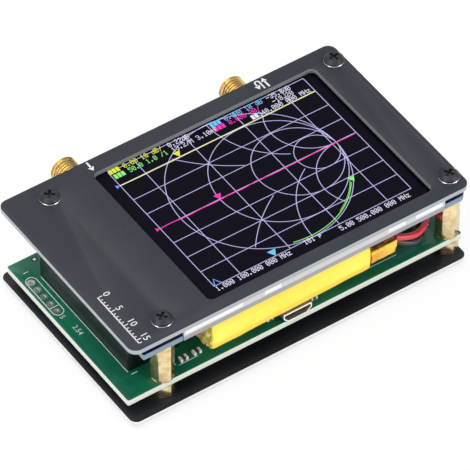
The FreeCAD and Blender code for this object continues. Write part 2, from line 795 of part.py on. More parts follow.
# Coaxial ports: a square block on the board, a relieved threaded barrel with its lip chamfered,
# a white insulator and a hollow centre contact, all on one axis along +Y
def make_ports():
    for number, sign in ((1, "-"), (2, "+")):
        label = "port_%d" % number
        x = "port_shift_x %s port_spacing / 2" % sign
        body = doc.addObject("PartDesign::Body", label + "_body")
        block = sketch_on(body, label + "_block", z="-port_block_depth")
        draw_rectangle(block, "port_block", "port_block")
        pad(body, label + "_block_pad", block, "port_block_depth")
        relief = sketch_on(body, label + "_relief")
        draw_circle(relief, "port_relief")
        pad(body, label + "_relief_pad", relief, "port_relief_length")
        barrel = sketch_on(body, label + "_barrel", z="port_relief_length")
        draw_circle(barrel, "port_thread")
        barrel_pad = pad(body, label + "_barrel_pad", barrel, "port_reach - port_relief_length")
        lips = []
        for index, edge in enumerate(barrel_pad.Shape.Edges, start=1):
            if edge.BoundBox.ZMin > size("port_reach") - 1e-6:
                lips.append("Edge%d" % index)
        lip = body.newObject("PartDesign::Chamfer", label + "_lip")
        lip.Base = (barrel_pad, lips)
        bind(lip, Size="port_chamfer")
        doc.recompute()
        bore = sketch_on(body, label + "_bore", z="port_reach - port_bore_depth")
        draw_circle(bore, "port_bore")
        drilled = body.newObject("PartDesign::Pocket", label + "_bore_cut")
        drilled.Profile = bore
        drilled.Reversed = True
        drilled.Type = 0
        bind(drilled, Length="port_bore_depth + 1")
        doc.recompute()
        legs = sketch_on(body, label + "_legs", "XZ_Plane", z="-port_block / 2",
                         y="-port_block_depth / 2")
        frame = draw_rectangle(legs, "port_leg_spacing", "port_block_depth - port_leg * 1.5",
                               construction=True)
        for corner in range(4):
            draw_circle(legs, "port_leg", (frame + corner, 1))
        body.Placement = Placement(Vector(0, 0, 0), Rotation(Vector(1, 0, 0), -90))
        leg_pad = body.newObject("PartDesign::Pad", label + "_leg_pad")
        leg_pad.Profile = legs
        leg_pad.Reversed = True
        bind(leg_pad, Length="port_height - port_block / 2 + board_thickness + port_leg_reach")
        doc.recompute()
        put(body, x, "board_back_edge", "port_axis")
        node(body, label + "_connector")

        gap = "fit_gap"
        core_length = "port_bore_depth - port_face_recess"
        core = cylinder(label + "_core", "port_bore - 2 * %s" % gap, core_length)
        core_bore = cylinder(label + "_core_bore", "contact_diameter + 2 * %s" % gap, core_length)
        insulator = cut(label + "_insulator_cut", core, core_bore)
        contact = cylinder(label + "_contact_rod", "contact_diameter", core_length)
        contact_bore = cylinder(label + "_contact_bore", "contact_bore", "3", z=core_length + " - 3")
        socket = cut(label + "_contact_cut", contact, contact_bore)
        for piece, role in ((insulator, "insulator"), (socket, "contact")):
            piece.Placement = Placement(Vector(0, 0, 0), Rotation(Vector(1, 0, 0), -90))
            put(piece, x, "board_back_edge + port_reach - port_bore_depth", "port_axis")
            node(piece, "%s_%s" % (label, role))


# Charging socket: a folded steel shell whose lower corners slope in, with a contact tongue
def make_usb_socket():
    def outline(inset):
        """Half-width and heights of the mouth, drawn inside the shell by the inset."""
        half = size("usb_width") / 2 - inset
        low, high = inset, size("usb_height") - inset
        slope = size("usb_slope") - inset * 0.6
        points = [Vector(-half, 0, high), Vector(half, 0, high), Vector(half, 0, low + slope),
                  Vector(half - slope, 0, low), Vector(-half + slope, 0, low),
                  Vector(-half, 0, low + slope)]
        return Part.Face(Part.makePolygon(points + points[:1]))

    depth, wall = size("usb_depth"), size("usb_wall")
    outside = outline(0).extrude(Vector(0, depth, 0))
    outside = outside.makeFillet(0.35, [edge for edge in outside.Edges
                                        if abs(edge.Vertexes[0].Y - edge.Vertexes[1].Y) > 1])
    inside = outline(wall).extrude(Vector(0, depth - wall, 0))
    shell = outside.cut(inside)
    front_y = size("board_front_edge") - size("usb_proud")
    spot = Vector(size("middle_x") + size("usb_shift_x"), size("middle_y") + front_y, size("board_top"))
    shell_part = doc.addObject("Part::Feature", "usb_shell_solid")
    shell_part.Shape = shell
    shell_part.Placement = Placement(spot, Rotation())
    node(shell_part, "usb_shell")
    top = "middle_y + board_front_edge - usb_proud + usb_depth - usb_wall - tongue_length / 2"
    tongue = box("tongue_block", "tongue_width", "tongue_length", "tongue_thickness",
                 "middle_x + usb_shift_x", top, "board_top + usb_height / 2")
    node(tongue, "usb_tongue")


# Push buttons on the short edge: a housing open towards the edge and its plunger
def make_buttons():
    for step, name in enumerate(("left", "enter", "right")):
        y = "middle_y + button_start_y + button_pitch * %d" % step
        right = "middle_x + board_right_edge"
        housing = box(name + "_housing", "button_depth", "button_width", "button_height",
                      right + " - button_depth / 2", y, "board_top")
        axis = "board_top + button_height / 2"
        room_depth = "plunger_tail + button_travel + control_gap"
        room = box(name + "_room", room_depth + " + 1", "plunger_width + 2 * control_gap",
                   "plunger_height + 2 * control_gap", right + " - (%s - 1) / 2" % room_depth, y,
                   axis + " - plunger_height / 2 - control_gap")
        node(cut(name + "_housing_cut", housing, room), "button_%s_housing" % name)
        long = "plunger_tail + control_reach"
        plunger = box(name + "_plunger", long, "plunger_width", "plunger_height",
                      right + " + control_reach - (%s) / 2" % long, y,
                      axis + " - plunger_height / 2")
        rounded = soft_edges(name + "_plunger_soft", plunger,
                             lambda low, high: min(low.x, high.x) > 1.0, 0.3)
        node(rounded, "button_%s_plunger" % name)


# Power switch on the same edge: a folded can with a slot, and a knob that slides along it
def make_power_switch():
    right, y = "middle_x + board_right_edge", "middle_y + switch_shift_y"
    can = box("switch_can", "switch_depth", "switch_width", "switch_height",
              right + " - switch_depth / 2", y, "board_top")
    axis = "board_top + switch_height / 2"
    depth = "knob_tail + control_gap"
    slot = box("switch_slot", depth + " + 1", "knob_width + knob_travel + 2 * control_gap",
               "knob_height + 2 * control_gap", right + " - (%s - 1) / 2" % depth, y,
               axis + " - knob_height / 2 - control_gap")
    node(cut("switch_can_cut", can, slot), "power_switch_housing")
    long = "knob_tail + control_reach"
    knob = box("switch_knob", long, "knob_width", "knob_height",
               right + " + control_reach - (%s) / 2" % long, y + " - knob_travel / 2",
               axis + " - knob_height / 2")
    node(soft_edges("switch_knob_soft", knob, lambda low, high: min(low.x, high.x) > 1.0, 0.25),
         "power_switch_knob")


# Board-to-board header: pins soldered in the main board reach into the display board's socket
def make_header():
    along = "pin_pitch * (pin_count - 1)"
    x = "middle_x + pin_shift_x"
    y = "middle_y + board_back_edge - pin_inset_y"
    pins = []
    for index in range(int(size("pin_count"))):
        pins.append(box("pin_%d" % index, "pin_side", "pin_side",
                        "pin_below + board_thickness + pin_base_height + pin_above",
                        "%s + pin_pitch * %d - %s / 2" % (x, index, along), y,
                        "board_bottom - pin_below"))
    node(group("pins_group", *pins), "header_pins")
    long = along + " + pin_pitch"
    base = box("header_base_block", long, "pin_strip_width", "pin_base_height", x, y, "board_top")
    socket = box("header_socket_block", long, "pin_strip_width", "pin_socket_height", x, y,
                 "module_bottom - pin_socket_height")
    for block, label in ((base, "header_base"), (socket, "header_socket")):
        holes = []
        for index in range(int(size("pin_count"))):
            holes.append(box("%s_hole_%d" % (label, index), "pin_side + 2 * fit_gap",
                             "pin_side + 2 * fit_gap", "pin_above * 2",
                             "%s + pin_pitch * %d - %s / 2" % (x, index, along), y,
                             "board_top - 1"))
        node(cut(label + "_cut", block, group(label + "_holes", *holes)), label)


# Chips and small parts on the open stretch of board behind the battery and at its front edge.
# Each entry is length, width, height and the place from the board's middle.
PARTS = {
    "microcontroller": ((7.0, 7.0, 1.4, 4.0, 12.4),),
    "clock_chips": ((3.0, 3.0, 0.9, -7.5, 13.0), (5.0, 3.2, 1.2, -14.0, 12.6)),
    "charger_chips": ((2.9, 1.6, 1.1, 12.6, 14.2), (3.0, 3.0, 0.9, 17.6, 13.0), (4.0, 4.0, 2.0, 24.0, 12.5)),
    "status_lights": ((2.0, 1.25, 0.8, -27.8, -20.7), (2.0, 1.25, 0.8, -24.3, -20.7)),
    "small_parts": ((1.6, 0.8, 0.7, 5.9, -21.9), (1.6, 0.8, 0.7, -5.6, -21.6),
                    (1.6, 0.8, 0.7, 10.4, 18.0), (1.6, 0.8, 0.7, -2.4, 16.8),
                    (1.6, 0.8, 0.7, 21.6, 16.6), (1.6, 0.8, 0.7, -18.8, 10.6)),
}


def make_parts():
    for label, entries in PARTS.items():
        solids = []
        for index, (long, wide, tall, x, y) in enumerate(entries):
            solids.append(box("%s_%d" % (label, index), str(long), str(wide), str(tall),
                              "middle_x + board_shift_x + (%s)" % x,
                              "middle_y + board_shift_y + (%s)" % y, "board_top"))
        node(group(label + "_group", *solids) if len(solids) > 1 else solids[0], label)


make_back_plate()
make_screws("plate_screws", "plate_bottom", False, "plate_thickness + plate_screw_grip")
stack_posts("lower_standoffs", "lower_standoff_length", "plate_top")
make_main_board()
stack_posts("upper_standoffs", "upper_standoff_length", "board_top", stud="board_thickness")
make_display_board()
stack_posts("panel_spacers", "panel_spacer_length", "module_top")
make_front_panel()
make_screws("panel_screws", "panel_top", True,
            "panel_thickness + panel_spacer_length + module_thickness + panel_screw_grip")
make_shield()
make_radio_chips()
make_display()
make_battery()
make_leads()
make_battery_connector()
make_ports()
make_usb_socket()
make_buttons()
make_power_switch()
make_header()
make_parts()
doc.recompute()

for item in doc.Objects:
    if "Invalid" in item.State or "Error" in item.State:
        raise RuntimeError("%s did not recompute: %s" % (item.Name, item.State))
for item in nodes:
    if item.Shape.isNull() or not item.Shape.isValid():
        raise RuntimeError("%s has no valid shape" % item.Label)
for item in nodes:
    item.Shape.exportStep("parts/%s.step" % item.Label)
    bounds = item.Shape.BoundBox
    print("%-24s solids %2d volume %9.2f  x %7.2f %7.2f  y %7.2f %7.2f  z %6.2f %6.2f"
          % (item.Label, len(item.Shape.Solids), item.Shape.Volume, bounds.XMin, bounds.XMax,
             bounds.YMin, bounds.YMax, bounds.ZMin, bounds.ZMax))
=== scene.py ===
import json
import math

import bmesh
import bpy
from mathutils import Euler, Matrix, Vector, noise


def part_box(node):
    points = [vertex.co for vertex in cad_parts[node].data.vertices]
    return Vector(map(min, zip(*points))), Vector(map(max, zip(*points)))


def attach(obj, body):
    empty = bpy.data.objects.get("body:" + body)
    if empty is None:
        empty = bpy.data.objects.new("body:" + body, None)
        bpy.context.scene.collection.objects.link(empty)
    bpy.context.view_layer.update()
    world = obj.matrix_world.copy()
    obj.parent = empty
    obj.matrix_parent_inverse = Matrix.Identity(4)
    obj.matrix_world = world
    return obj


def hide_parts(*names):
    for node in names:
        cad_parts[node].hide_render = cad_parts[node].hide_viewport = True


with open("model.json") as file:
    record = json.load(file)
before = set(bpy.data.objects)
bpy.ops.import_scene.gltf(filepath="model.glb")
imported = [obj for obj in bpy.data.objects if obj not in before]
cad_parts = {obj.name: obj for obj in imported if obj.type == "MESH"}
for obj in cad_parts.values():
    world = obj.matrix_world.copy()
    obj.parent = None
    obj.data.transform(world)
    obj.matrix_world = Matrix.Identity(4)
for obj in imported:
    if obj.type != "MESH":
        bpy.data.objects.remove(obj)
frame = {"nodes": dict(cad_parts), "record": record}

scene = bpy.context.scene
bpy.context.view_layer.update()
MM = 0.001

# Camera, light and floor. The camera stands where the photograph was taken from: a long lens
# from the front left, 46 degrees above the table. Soft lamps light the object from above, the
# front and the left, and a pale floor closes the scene.
CAMERA_PLACE = (-0.4908, -0.7182, 0.9190)
CAMERA_TURN_DEG = -34.55
CAMERA_HEIGHT_DEG = 46.38
CAMERA_ROLL_DEG = 0.15
CAMERA_LENS = 435.0

camera_data = bpy.data.cameras.new("camera")
camera_data.lens = CAMERA_LENS
camera_data.sensor_width = 36.0
camera_data.clip_start = 0.05
camera_data.clip_end = 10.0
camera = bpy.data.objects.new("camera", camera_data)
scene.collection.objects.link(camera)
camera.location = CAMERA_PLACE
aim = Euler((math.radians(90.0 - CAMERA_HEIGHT_DEG), 0.0, math.radians(CAMERA_TURN_DEG)), "XYZ")
roll = Matrix.Rotation(math.radians(CAMERA_ROLL_DEG), 3, "Z")
camera.rotation_euler = (aim.to_matrix() @ roll).to_euler()
scene.camera = camera
scene.view_settings.view_transform = "Standard"


def srgb(red, green, blue):
    """A colour read in screen values, 0 to 255, as the linear colour that shaders use."""
    linear = []
    for part in (red, green, blue):
        value = part / 255.0
        linear.append(value / 12.92 if value <= 0.04045 else ((value + 0.055) / 1.055) ** 2.4)
    return (*linear, 1.0)


world = bpy.data.worlds.new("studio")
scene.world = world
world.use_nodes = True
sky = world.node_tree
sky.nodes.clear()
sky_out = sky.nodes.new("ShaderNodeOutputWorld")
sky_path = sky.nodes.new("ShaderNodeLightPath")
sky_mix = sky.nodes.new("ShaderNodeMixShader")
SKY_LIGHT, SKY_SEEN = ((0.93, 0.96, 1.0, 1.0), 0.62), ((1.0, 1.0, 1.0, 1.0), 1.0)
for number, (colour, strength) in enumerate((SKY_LIGHT, SKY_SEEN), 1):
    glow = sky.nodes.new("ShaderNodeBackground")
    glow.inputs["Color"].default_value = colour
    glow.inputs["Strength"].default_value = strength
    sky.links.new(glow.outputs[0], sky_mix.inputs[number])
sky.links.new(sky_path.outputs["Is Camera Ray"], sky_mix.inputs["Fac"])
sky.links.new(sky_mix.outputs[0], sky_out.inputs["Surface"])

LAMPS_FACE = Vector((0, 0, 0.01))


def soft_lamp(name, place, width, power, tint=(1.0, 1.0, 1.0)):
    """A square area lamp that faces the object's middle."""
    data = bpy.data.lights.new(name, "AREA")
    data.shape = "SQUARE"
    data.size = width
    data.energy = power
    data.color = tint
    lamp = bpy.data.objects.new(name, data)
    scene.collection.objects.link(lamp)
    lamp.location = place
    lamp.rotation_euler = (LAMPS_FACE - Vector(place)).to_track_quat("-Z", "Y").to_euler()


soft_lamp("lamp_above", (-0.15, 0.05, 0.75), 0.7, 4.2)
soft_lamp("lamp_front", (0.45, -0.75, 0.35), 0.5, 3.4, (1.0, 0.99, 0.96))
soft_lamp("lamp_left", (-0.8, -0.15, 0.4), 0.5, 2.6)


def finish_nodes(name):
    """A material with its tree and its shader, ready for more nodes."""
    material = bpy.data.materials.new(name)
    material.use_nodes = True
    tree = material.node_tree
    return material, tree, tree.nodes["Principled BSDF"]


def feed(tree, value, socket):
    """Gives a socket a constant or another node's output."""
    if isinstance(value, bpy.types.NodeSocket):
        tree.links.new(value, socket)
    else:
        socket.default_value = value


def calculated(tree, operation, *values):
    """The result of a math node on constants or other nodes' outputs."""
    node = tree.nodes.new("ShaderNodeMath")
    node.operation = operation
    for value, socket in zip(values, node.inputs):
        feed(tree, value, socket)
    return node.outputs[0]


def grain_group():
    """Broad and fine mottling in the object's own coordinates, shared by most finishes."""
    tree = bpy.data.node_groups.new("surface_grain", "ShaderNodeTree")
    sockets = (("Broad Scale", "INPUT"), ("Fine Scale", "INPUT"), ("Broad", "OUTPUT"),
               ("Fine", "OUTPUT"))
    for name, way in sockets:
        tree.interface.new_socket(name, in_out=way, socket_type="NodeSocketFloat")
    entry = tree.nodes.new("NodeGroupInput")
    result = tree.nodes.new("NodeGroupOutput")
    coords = tree.nodes.new("ShaderNodeTexCoord")
    clouds = (("Broad Scale", "Broad", 3.0), ("Fine Scale", "Fine", 6.0))
    for socket_in, socket_out, detail in clouds:
        cloud = tree.nodes.new("ShaderNodeTexNoise")
        cloud.inputs["Detail"].default_value = detail
        tree.links.new(coords.outputs["Object"], cloud.inputs["Vector"])
        tree.links.new(entry.outputs[socket_in], cloud.inputs["Scale"])
        tree.links.new(cloud.outputs["Fac"], result.inputs[socket_out])
    return tree


GRAIN = grain_group()


def add_grain(tree, broad, fine):
    """The shared mottling in a material's tree, with its own two scales."""
    grain = tree.nodes.new("ShaderNodeGroup")
    grain.node_tree = GRAIN
    grain.inputs["Broad Scale"].default_value = broad
    grain.inputs["Fine Scale"].default_value = fine
    return grain


def blend_colours(tree, factor, low, high):
    """Mixes two colours, each a constant or another node's output, by a factor output."""
    mix = tree.nodes.new("ShaderNodeMix")
    mix.data_type = "RGBA"
    tree.links.new(factor, mix.inputs["Factor"])
    feed(tree, low, mix.inputs["A"])
    feed(tree, high, mix.inputs["B"])
    return mix.outputs["Result"]


def stretch(tree, value, low, high, out_low, out_high):
    """Maps a value's range to another, clamped at both ends."""
    spread = tree.nodes.new("ShaderNodeMapRange")
    tree.links.new(value, spread.inputs["Value"])
    for socket, number in (("From Min", low), ("From Max", high), ("To Min", out_low),
                           ("To Max", out_high)):
        spread.inputs[socket].default_value = number
    return spread.outputs["Result"]


def add_bump(tree, shader, height, depth_mm, strength=1.0):
    """Relief on a shader, from a height output and its depth in millimetres."""
    bump = tree.nodes.new("ShaderNodeBump")
    bump.inputs["Strength"].default_value = strength
    bump.inputs["Distance"].default_value = depth_mm * MM
    tree.links.new(height, bump.inputs["Height"])
    tree.links.new(bump.outputs["Normal"], shader.inputs["Normal"])


def follow_grain(tree, shader, grain, smoothest, roughest):
    """Lets a shader's roughness follow its fine grain between two values."""
    gloss = stretch(tree, grain.outputs["Fine"], 0.3, 0.7, smoothest, roughest)
    tree.links.new(gloss, shader.inputs["Roughness"])


def mottled(name, dark, light, rough, metallic=0.0, broad=180.0, fine=2500.0, bump_mm=0.004,
            coat=0.0):
    """A finish whose colour drifts between two screen tones; gloss and relief follow its grain."""
    material, tree, shader = finish_nodes(name)
    grain = add_grain(tree, broad, fine)
    tone = stretch(tree, grain.outputs["Broad"], 0.3, 0.7, 0.0, 1.0)
    tree.links.new(blend_colours(tree, tone, srgb(*dark), srgb(*light)),
                   shader.inputs["Base Color"])
    gloss = stretch(tree, grain.outputs["Fine"], 0.25, 0.75, rough * 0.8, min(rough * 1.25, 1.0))
    tree.links.new(gloss, shader.inputs["Roughness"])
    shader.inputs["Metallic"].default_value = metallic
    shader.inputs["Coat Weight"].default_value = coat
    add_bump(tree, shader, grain.outputs["Fine"], bump_mm)
    return material


floor_mesh = bpy.data.meshes.new("floor")
floor_bm = bmesh.new()
bmesh.ops.create_grid(floor_bm, x_segments=1, y_segments=1, size=3.0)
floor_bm.to_mesh(floor_mesh)
floor_bm.free()
floor = bpy.data.objects.new("floor", floor_mesh)
scene.collection.objects.link(floor)
floor_material, floor_tree, floor_shader = finish_nodes("floor_paper")
floor_shader.inputs["Base Color"].default_value = (0.86, 0.86, 0.86, 1.0)
floor_shader.inputs["Roughness"].default_value = 0.9
floor_glow = floor_tree.nodes.new("ShaderNodeEmission")
floor_mix = floor_tree.nodes.new("ShaderNodeMixShader")
floor_path = floor_tree.nodes.new("ShaderNodeLightPath")
FLOOR_WHITE_SHARE = 0.86
floor_share = calculated(floor_tree, "MULTIPLY", floor_path.outputs["Is Camera Ray"],
                         FLOOR_WHITE_SHARE)
floor_tree.links.new(floor_share, floor_mix.inputs["Fac"])
floor_tree.links.new(floor_shader.outputs[0], floor_mix.inputs[1])
floor_tree.links.new(floor_glow.outputs[0], floor_mix.inputs[2])
floor_tree.links.new(floor_mix.outputs[0], floor_tree.nodes["Material Output"].inputs["Surface"])
floor_mesh.materials.append(floor_material)

# Back plate: a black masked glass-fibre sheet, cut with a router so that its pale laminate
# shows at the edge. It carries the stack on four screws.
plate_low, plate_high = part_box("back_plate")
MIDDLE = Vector(((plate_low.x + plate_high.x) / 2, (plate_low.y + plate_high.y) / 2, 0.0))


def at(x, y, z):
    """A place given in millimetres from the plate's middle, at a height in metres."""
    return Vector((MIDDLE.x + x * MM, MIDDLE.y + y * MM, z))


def show(name, bm, materials, body="root", replaces=()):
    """Turns a mesh under construction into a piece that rides on a body."""
    mesh = bpy.data.meshes.new(name)
    bm.to_mesh(mesh)
    bm.free()
    for material in materials if isinstance(materials, (list, tuple)) else [materials]:
        mesh.materials.append(material)
    piece = bpy.data.objects.new(name, mesh)
    scene.collection.objects.link(piece)
    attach(piece, body)
    if replaces:
        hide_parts(*replaces)
    return piece


def smooth_faces(bm, sharp_deg=32.0):
    """Shades smoothly over gentle edges and keeps the others crisp."""
    limit = math.radians(sharp_deg)
    for face in bm.faces:
        face.smooth = True
    for edge in bm.edges:
        edge.smooth = len(edge.link_faces) == 2 and edge.calc_face_angle(math.pi) < limit


WELD = 0.01 * MM
FLAT_ANGLE = math.radians(1.0)


def welded(node):
    """A node's own solid as a closed mesh, with its split corners joined."""
    bm = bmesh.new()
    bm.from_mesh(frame["nodes"][node].data)
    bmesh.ops.remove_doubles(bm, verts=bm.verts[:], dist=WELD)
    return bm


def join_flats(bm):
    """Makes one face of the triangles that lie in one plane."""
    bmesh.ops.dissolve_limit(bm, angle_limit=FLAT_ANGLE, verts=bm.verts[:], edges=bm.edges[:])


def dressed(node, material, edge_mm=0.1, steps=2, body="root"):
    """A copy of a node's solid with its edges broken, in place of the sharp original."""
    bm = welded(node)
    join_flats(bm)
    for face in bm.faces:
        face.smooth = True
    piece = show(node + "_finish", bm, material, body, (node,))
    bevel = piece.modifiers.new("broken_edges", "BEVEL")
    bevel.width = edge_mm * MM
    bevel.segments = steps
    bevel.limit_method = "ANGLE"
    bevel.angle_limit = math.radians(35.0)
    bevel.harden_normals = True


def masked_board(name, mask_dark, mask_light, edge_dark, edge_light, rough, tracks=0.0,
                 specks=0.0, gloss=0.5, window_edge_shade=None, window_half=(42.0, 25.0)):
    """Solder mask on both faces with the bare laminate at the edges.

    Faces and edges are told apart by the way they look: up, down or sideways. The cut edges of a
    window, nearer to the middle than its half sizes, may be given a darker grey as painted shade."""
    material, tree, shader = finish_nodes(name)
    grain = add_grain(tree, 60.0, 1800.0)
    mask_dark, mask_light = srgb(*mask_dark), srgb(*mask_light)
    edge_dark, edge_light = srgb(*edge_dark), srgb(*edge_light)
    tone = stretch(tree, grain.outputs["Broad"], 0.3, 0.7, 0.0, 1.0)
    mask = blend_colours(tree, tone, mask_dark, mask_light)
    coords = tree.nodes.new("ShaderNodeTexCoord")
    height = grain.outputs["Fine"]
    if tracks:
        cells = tree.nodes.new("ShaderNodeTexVoronoi")
        cells.distance = "CHEBYCHEV"
        cells.feature = "F2"
        cells.inputs["Scale"].default_value = 210.0
        tree.links.new(coords.outputs["Object"], cells.inputs["Vector"])
        lines = stretch(tree, cells.outputs["Distance"], 0.52, 0.60, 0.0, tracks)
        mask = blend_colours(tree, lines, mask, mask_light)
        height = lines
    if specks:
        dust = tree.nodes.new("ShaderNodeTexVoronoi")
        dust.inputs["Scale"].default_value = 420.0
        tree.links.new(coords.outputs["Object"], dust.inputs["Vector"])
        dots = stretch(tree, dust.outputs["Distance"], 0.05, 0.11, specks, 0.0)
        mask = blend_colours(tree, dots, mask, edge_light)
    fibres = tree.nodes.new("ShaderNodeTexWave")
    fibres.bands_direction = "Z"
    fibres.inputs["Scale"].default_value = 900.0
    fibres.inputs["Distortion"].default_value = 3.0
    tree.links.new(coords.outputs["Object"], fibres.inputs["Vector"])
    edge = blend_colours(tree, fibres.outputs["Fac"], edge_dark, edge_light)
    # Painted shade: inside the window the cut edges take a darker grey.
    if window_edge_shade:
        centred = tree.nodes.new("ShaderNodeMapping")
        centred.inputs["Location"].default_value = -MIDDLE
        tree.links.new(coords.outputs["Object"], centred.inputs["Vector"])
        parts = tree.nodes.new("ShaderNodeSeparateXYZ")
        tree.links.new(centred.outputs[0], parts.inputs[0])
        inside = []
        for letter, half in zip("XY", window_half):
            reach = calculated(tree, "ABSOLUTE", parts.outputs[letter])
            inside.append(calculated(tree, "LESS_THAN", reach, half * MM))
        edge = blend_colours(tree, calculated(tree, "MULTIPLY", *inside), edge, srgb(*window_edge_shade))
    split = tree.nodes.new("ShaderNodeSeparateXYZ")
    tree.links.new(coords.outputs["Normal"], split.inputs[0])
    upright = calculated(tree, "ABSOLUTE", split.outputs["Z"])
    facing = stretch(tree, upright, 0.55, 0.75, 0.0, 1.0)
    tree.links.new(blend_colours(tree, facing, edge, mask), shader.inputs["Base Color"])
    tree.links.new(stretch(tree, facing, 0.0, 1.0, 0.75, rough), shader.inputs["Roughness"])
    shader.inputs["Specular IOR Level"].default_value = gloss
    add_bump(tree, shader, height, 0.006, 0.6)
    return material


BLACK_MASK = masked_board("back_plate_mask", (22, 24, 29), (31, 33, 39), (206, 206, 206),
                          (232, 232, 232), 0.42, gloss=0.3)
dressed("back_plate", BLACK_MASK, 0.12)

# Front panel: the same board stock with a satin slate mask. The window's cut edge is painted a
# darker grey than the outer edges, as painted shade. Its white marks are a plain millimetre scale
# and arrows beside the two ports.
SLATE_MASK = masked_board("front_panel_mask", (39, 42, 48), (46, 49, 55),
                          (150, 154, 160), (176, 180, 186), 0.5, specks=0.04, gloss=0.3,
                          window_edge_shade=(126, 130, 131))
dressed("front_panel", SLATE_MASK, 0.1)
panel_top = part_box("front_panel")[1].z
PRINT_LIFT = 0.015 * MM


def flat_strip(bm, start, end, width):
    """A flat band between two places on a face that looks up."""
    along = (end - start).normalized()
    side = Vector((-along.y, along.x, 0.0)) * width / 2
    corners = (start - side, end - side, end + side, start + side)
    bm.faces.new([bm.verts.new(place) for place in corners])


def flat_path(bm, places, width):
    """A chain of flat bands whose joints are mitred, for printed lines and drawn curves."""
    rails = []
    for index, place in enumerate(places):
        before = places[max(index - 1, 0)]
        after = places[min(index + 1, len(places) - 1)]
        along = (after - before).normalized()
        side = Vector((-along.y, along.x, 0.0)) * width / 2
        rails.append((bm.verts.new(place - side), bm.verts.new(place + side)))
    for (right, left), (next_right, next_left) in zip(rails, rails[1:]):
        bm.faces.new((right, next_right, next_left, left))


def flat_shape(bm, places):
    """One flat face through places that are given anticlockwise."""
    bm.faces.new([bm.verts.new(place) for place in places])


def flat_ring(bm, centre, inner, outer, steps=32):
    """A flat ring, such as the tinned land round a hole."""
    rims = []
    for radius in (inner, outer):
        rims.append([bm.verts.new(centre + Vector((math.cos(turn), math.sin(turn), 0)) * radius)
                     for turn in (2 * math.pi * step / steps for step in range(steps))])
    for step in range(steps):
        after = (step + 1) % steps
        bm.faces.new((rims[0][step], rims[1][step], rims[1][after], rims[0][after]))


CAP_SHARE = 0.73


def figures(bm, words, corner, tall, along, up):
    """Sets plain figures flat on a face: along is the line's way, up their own."""
    letters = bpy.data.curves.new("figures", "FONT")
    letters.body = words
    letters.size = tall / CAP_SHARE
    letters.resolution_u = 3
    holder = bpy.data.objects.new("figures", letters)
    flat = bpy.data.meshes.new_from_object(holder)
    place = Matrix((along, up, along.cross(up))).transposed().to_4x4()
    place.translation = corner
    flat.transform(place)
    bm.from_mesh(flat)
    bpy.data.objects.remove(holder)
    bpy.data.curves.remove(letters)
    bpy.data.meshes.remove(flat)


WHITE_PRINT = mottled("white_print", (196, 198, 202), (216, 218, 222), 0.6, broad=900.0)
TO_FRONT, TO_RIGHT = Vector((0, -1, 0)), Vector((1, 0, 0))
print_height = panel_top + PRINT_LIFT
marks = bmesh.new()
SCALE_X, SCALE_START, SCALE_LONG = -41.8, -9.0, 16
LONG_TICK, SHORT_TICK, FIGURE_GAP, FIGURE_HALF, SCALE_PAST = 1.15, 0.7, 0.3, 0.55, 0.12
TICK_LINE, SCALE_LINE, FIGURE_TALL = 0.24 * MM, 0.3 * MM, 1.7 * MM
for tick in range(SCALE_LONG + 1):
    long_tick = tick % 5 == 0
    tick_y = SCALE_START - tick
    tick_end = SCALE_X + (LONG_TICK if long_tick else SHORT_TICK)
    flat_strip(marks, at(SCALE_X, tick_y, print_height), at(tick_end, tick_y, print_height),
               TICK_LINE)
    if long_tick:
        centred_y = tick_y + FIGURE_HALF * len(str(tick))
        figures(marks, str(tick), at(tick_end + FIGURE_GAP, centred_y, print_height), FIGURE_TALL,
                TO_FRONT, TO_RIGHT)
flat_strip(marks, at(SCALE_X, SCALE_START + SCALE_PAST, print_height),
           at(SCALE_X, SCALE_START - SCALE_LONG - SCALE_PAST, print_height), SCALE_LINE)

ARROW_HEAD_LONG, ARROW_HEAD_HALF = 1.2, 0.75


def arrow_head(bm, x, y_tip, way):
    """The head of a printed arrow, which points to the back or to the front."""
    y_back = y_tip - way * ARROW_HEAD_LONG
    head = [at(x - ARROW_HEAD_HALF, y_back, print_height),
            at(x + ARROW_HEAD_HALF, y_back, print_height), at(x, y_tip, print_height)]
    flat_shape(bm, head if way > 0 else head[::-1])


ARROW_LINE = 0.45 * MM
ARROWS = (((-21.4, 26.4), (-21.4, 24.4), (-21.4, 23.4), -1),
          ((25.5, 23.2), (25.4, 25.4), (25.4, 26.4), 1))
for tail, neck, tip, way in ARROWS:
    flat_strip(marks, at(*tail, print_height), at(*neck, print_height), ARROW_LINE)
    arrow_head(marks, *tip, way)
BEND_X, BEND_Y, BEND_R, BEND_LINE = 23.75, 25.6, 0.55, 0.36 * MM
turned_back = [at(BEND_X + BEND_R, 23.3, print_height)]
for step in range(9):
    turn = math.pi * step / 8
    turned_back.append(at(BEND_X + BEND_R * math.cos(turn), BEND_Y + BEND_R * math.sin(turn),
                          print_height))
turned_back.append(at(BEND_X - BEND_R, 24.6, print_height))
flat_path(marks, turned_back, BEND_LINE)
arrow_head(marks, BEND_X - BEND_R, 23.6, -1)
show("panel_print", marks, WHITE_PRINT)

# Main board: green gloss mask over copper, routed edges in cream laminate. The white ink gives
# the outlines of the shield and the pads, and the tinned lands shine round the holes.
GREEN_MASK = masked_board("main_board_mask", (8, 84, 60), (22, 112, 82),
                          (196, 200, 186), (220, 224, 212), 0.3, tracks=0.3, gloss=0.5)
dressed("main_board", GREEN_MASK, 0.08)
board_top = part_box("main_board")[1].z
ink_height = board_top + PRINT_LIFT
PAD_X, PAD_START_Y, PAD_STEP, PAD_COUNT = -42.5, 16.9, 2.54, 5

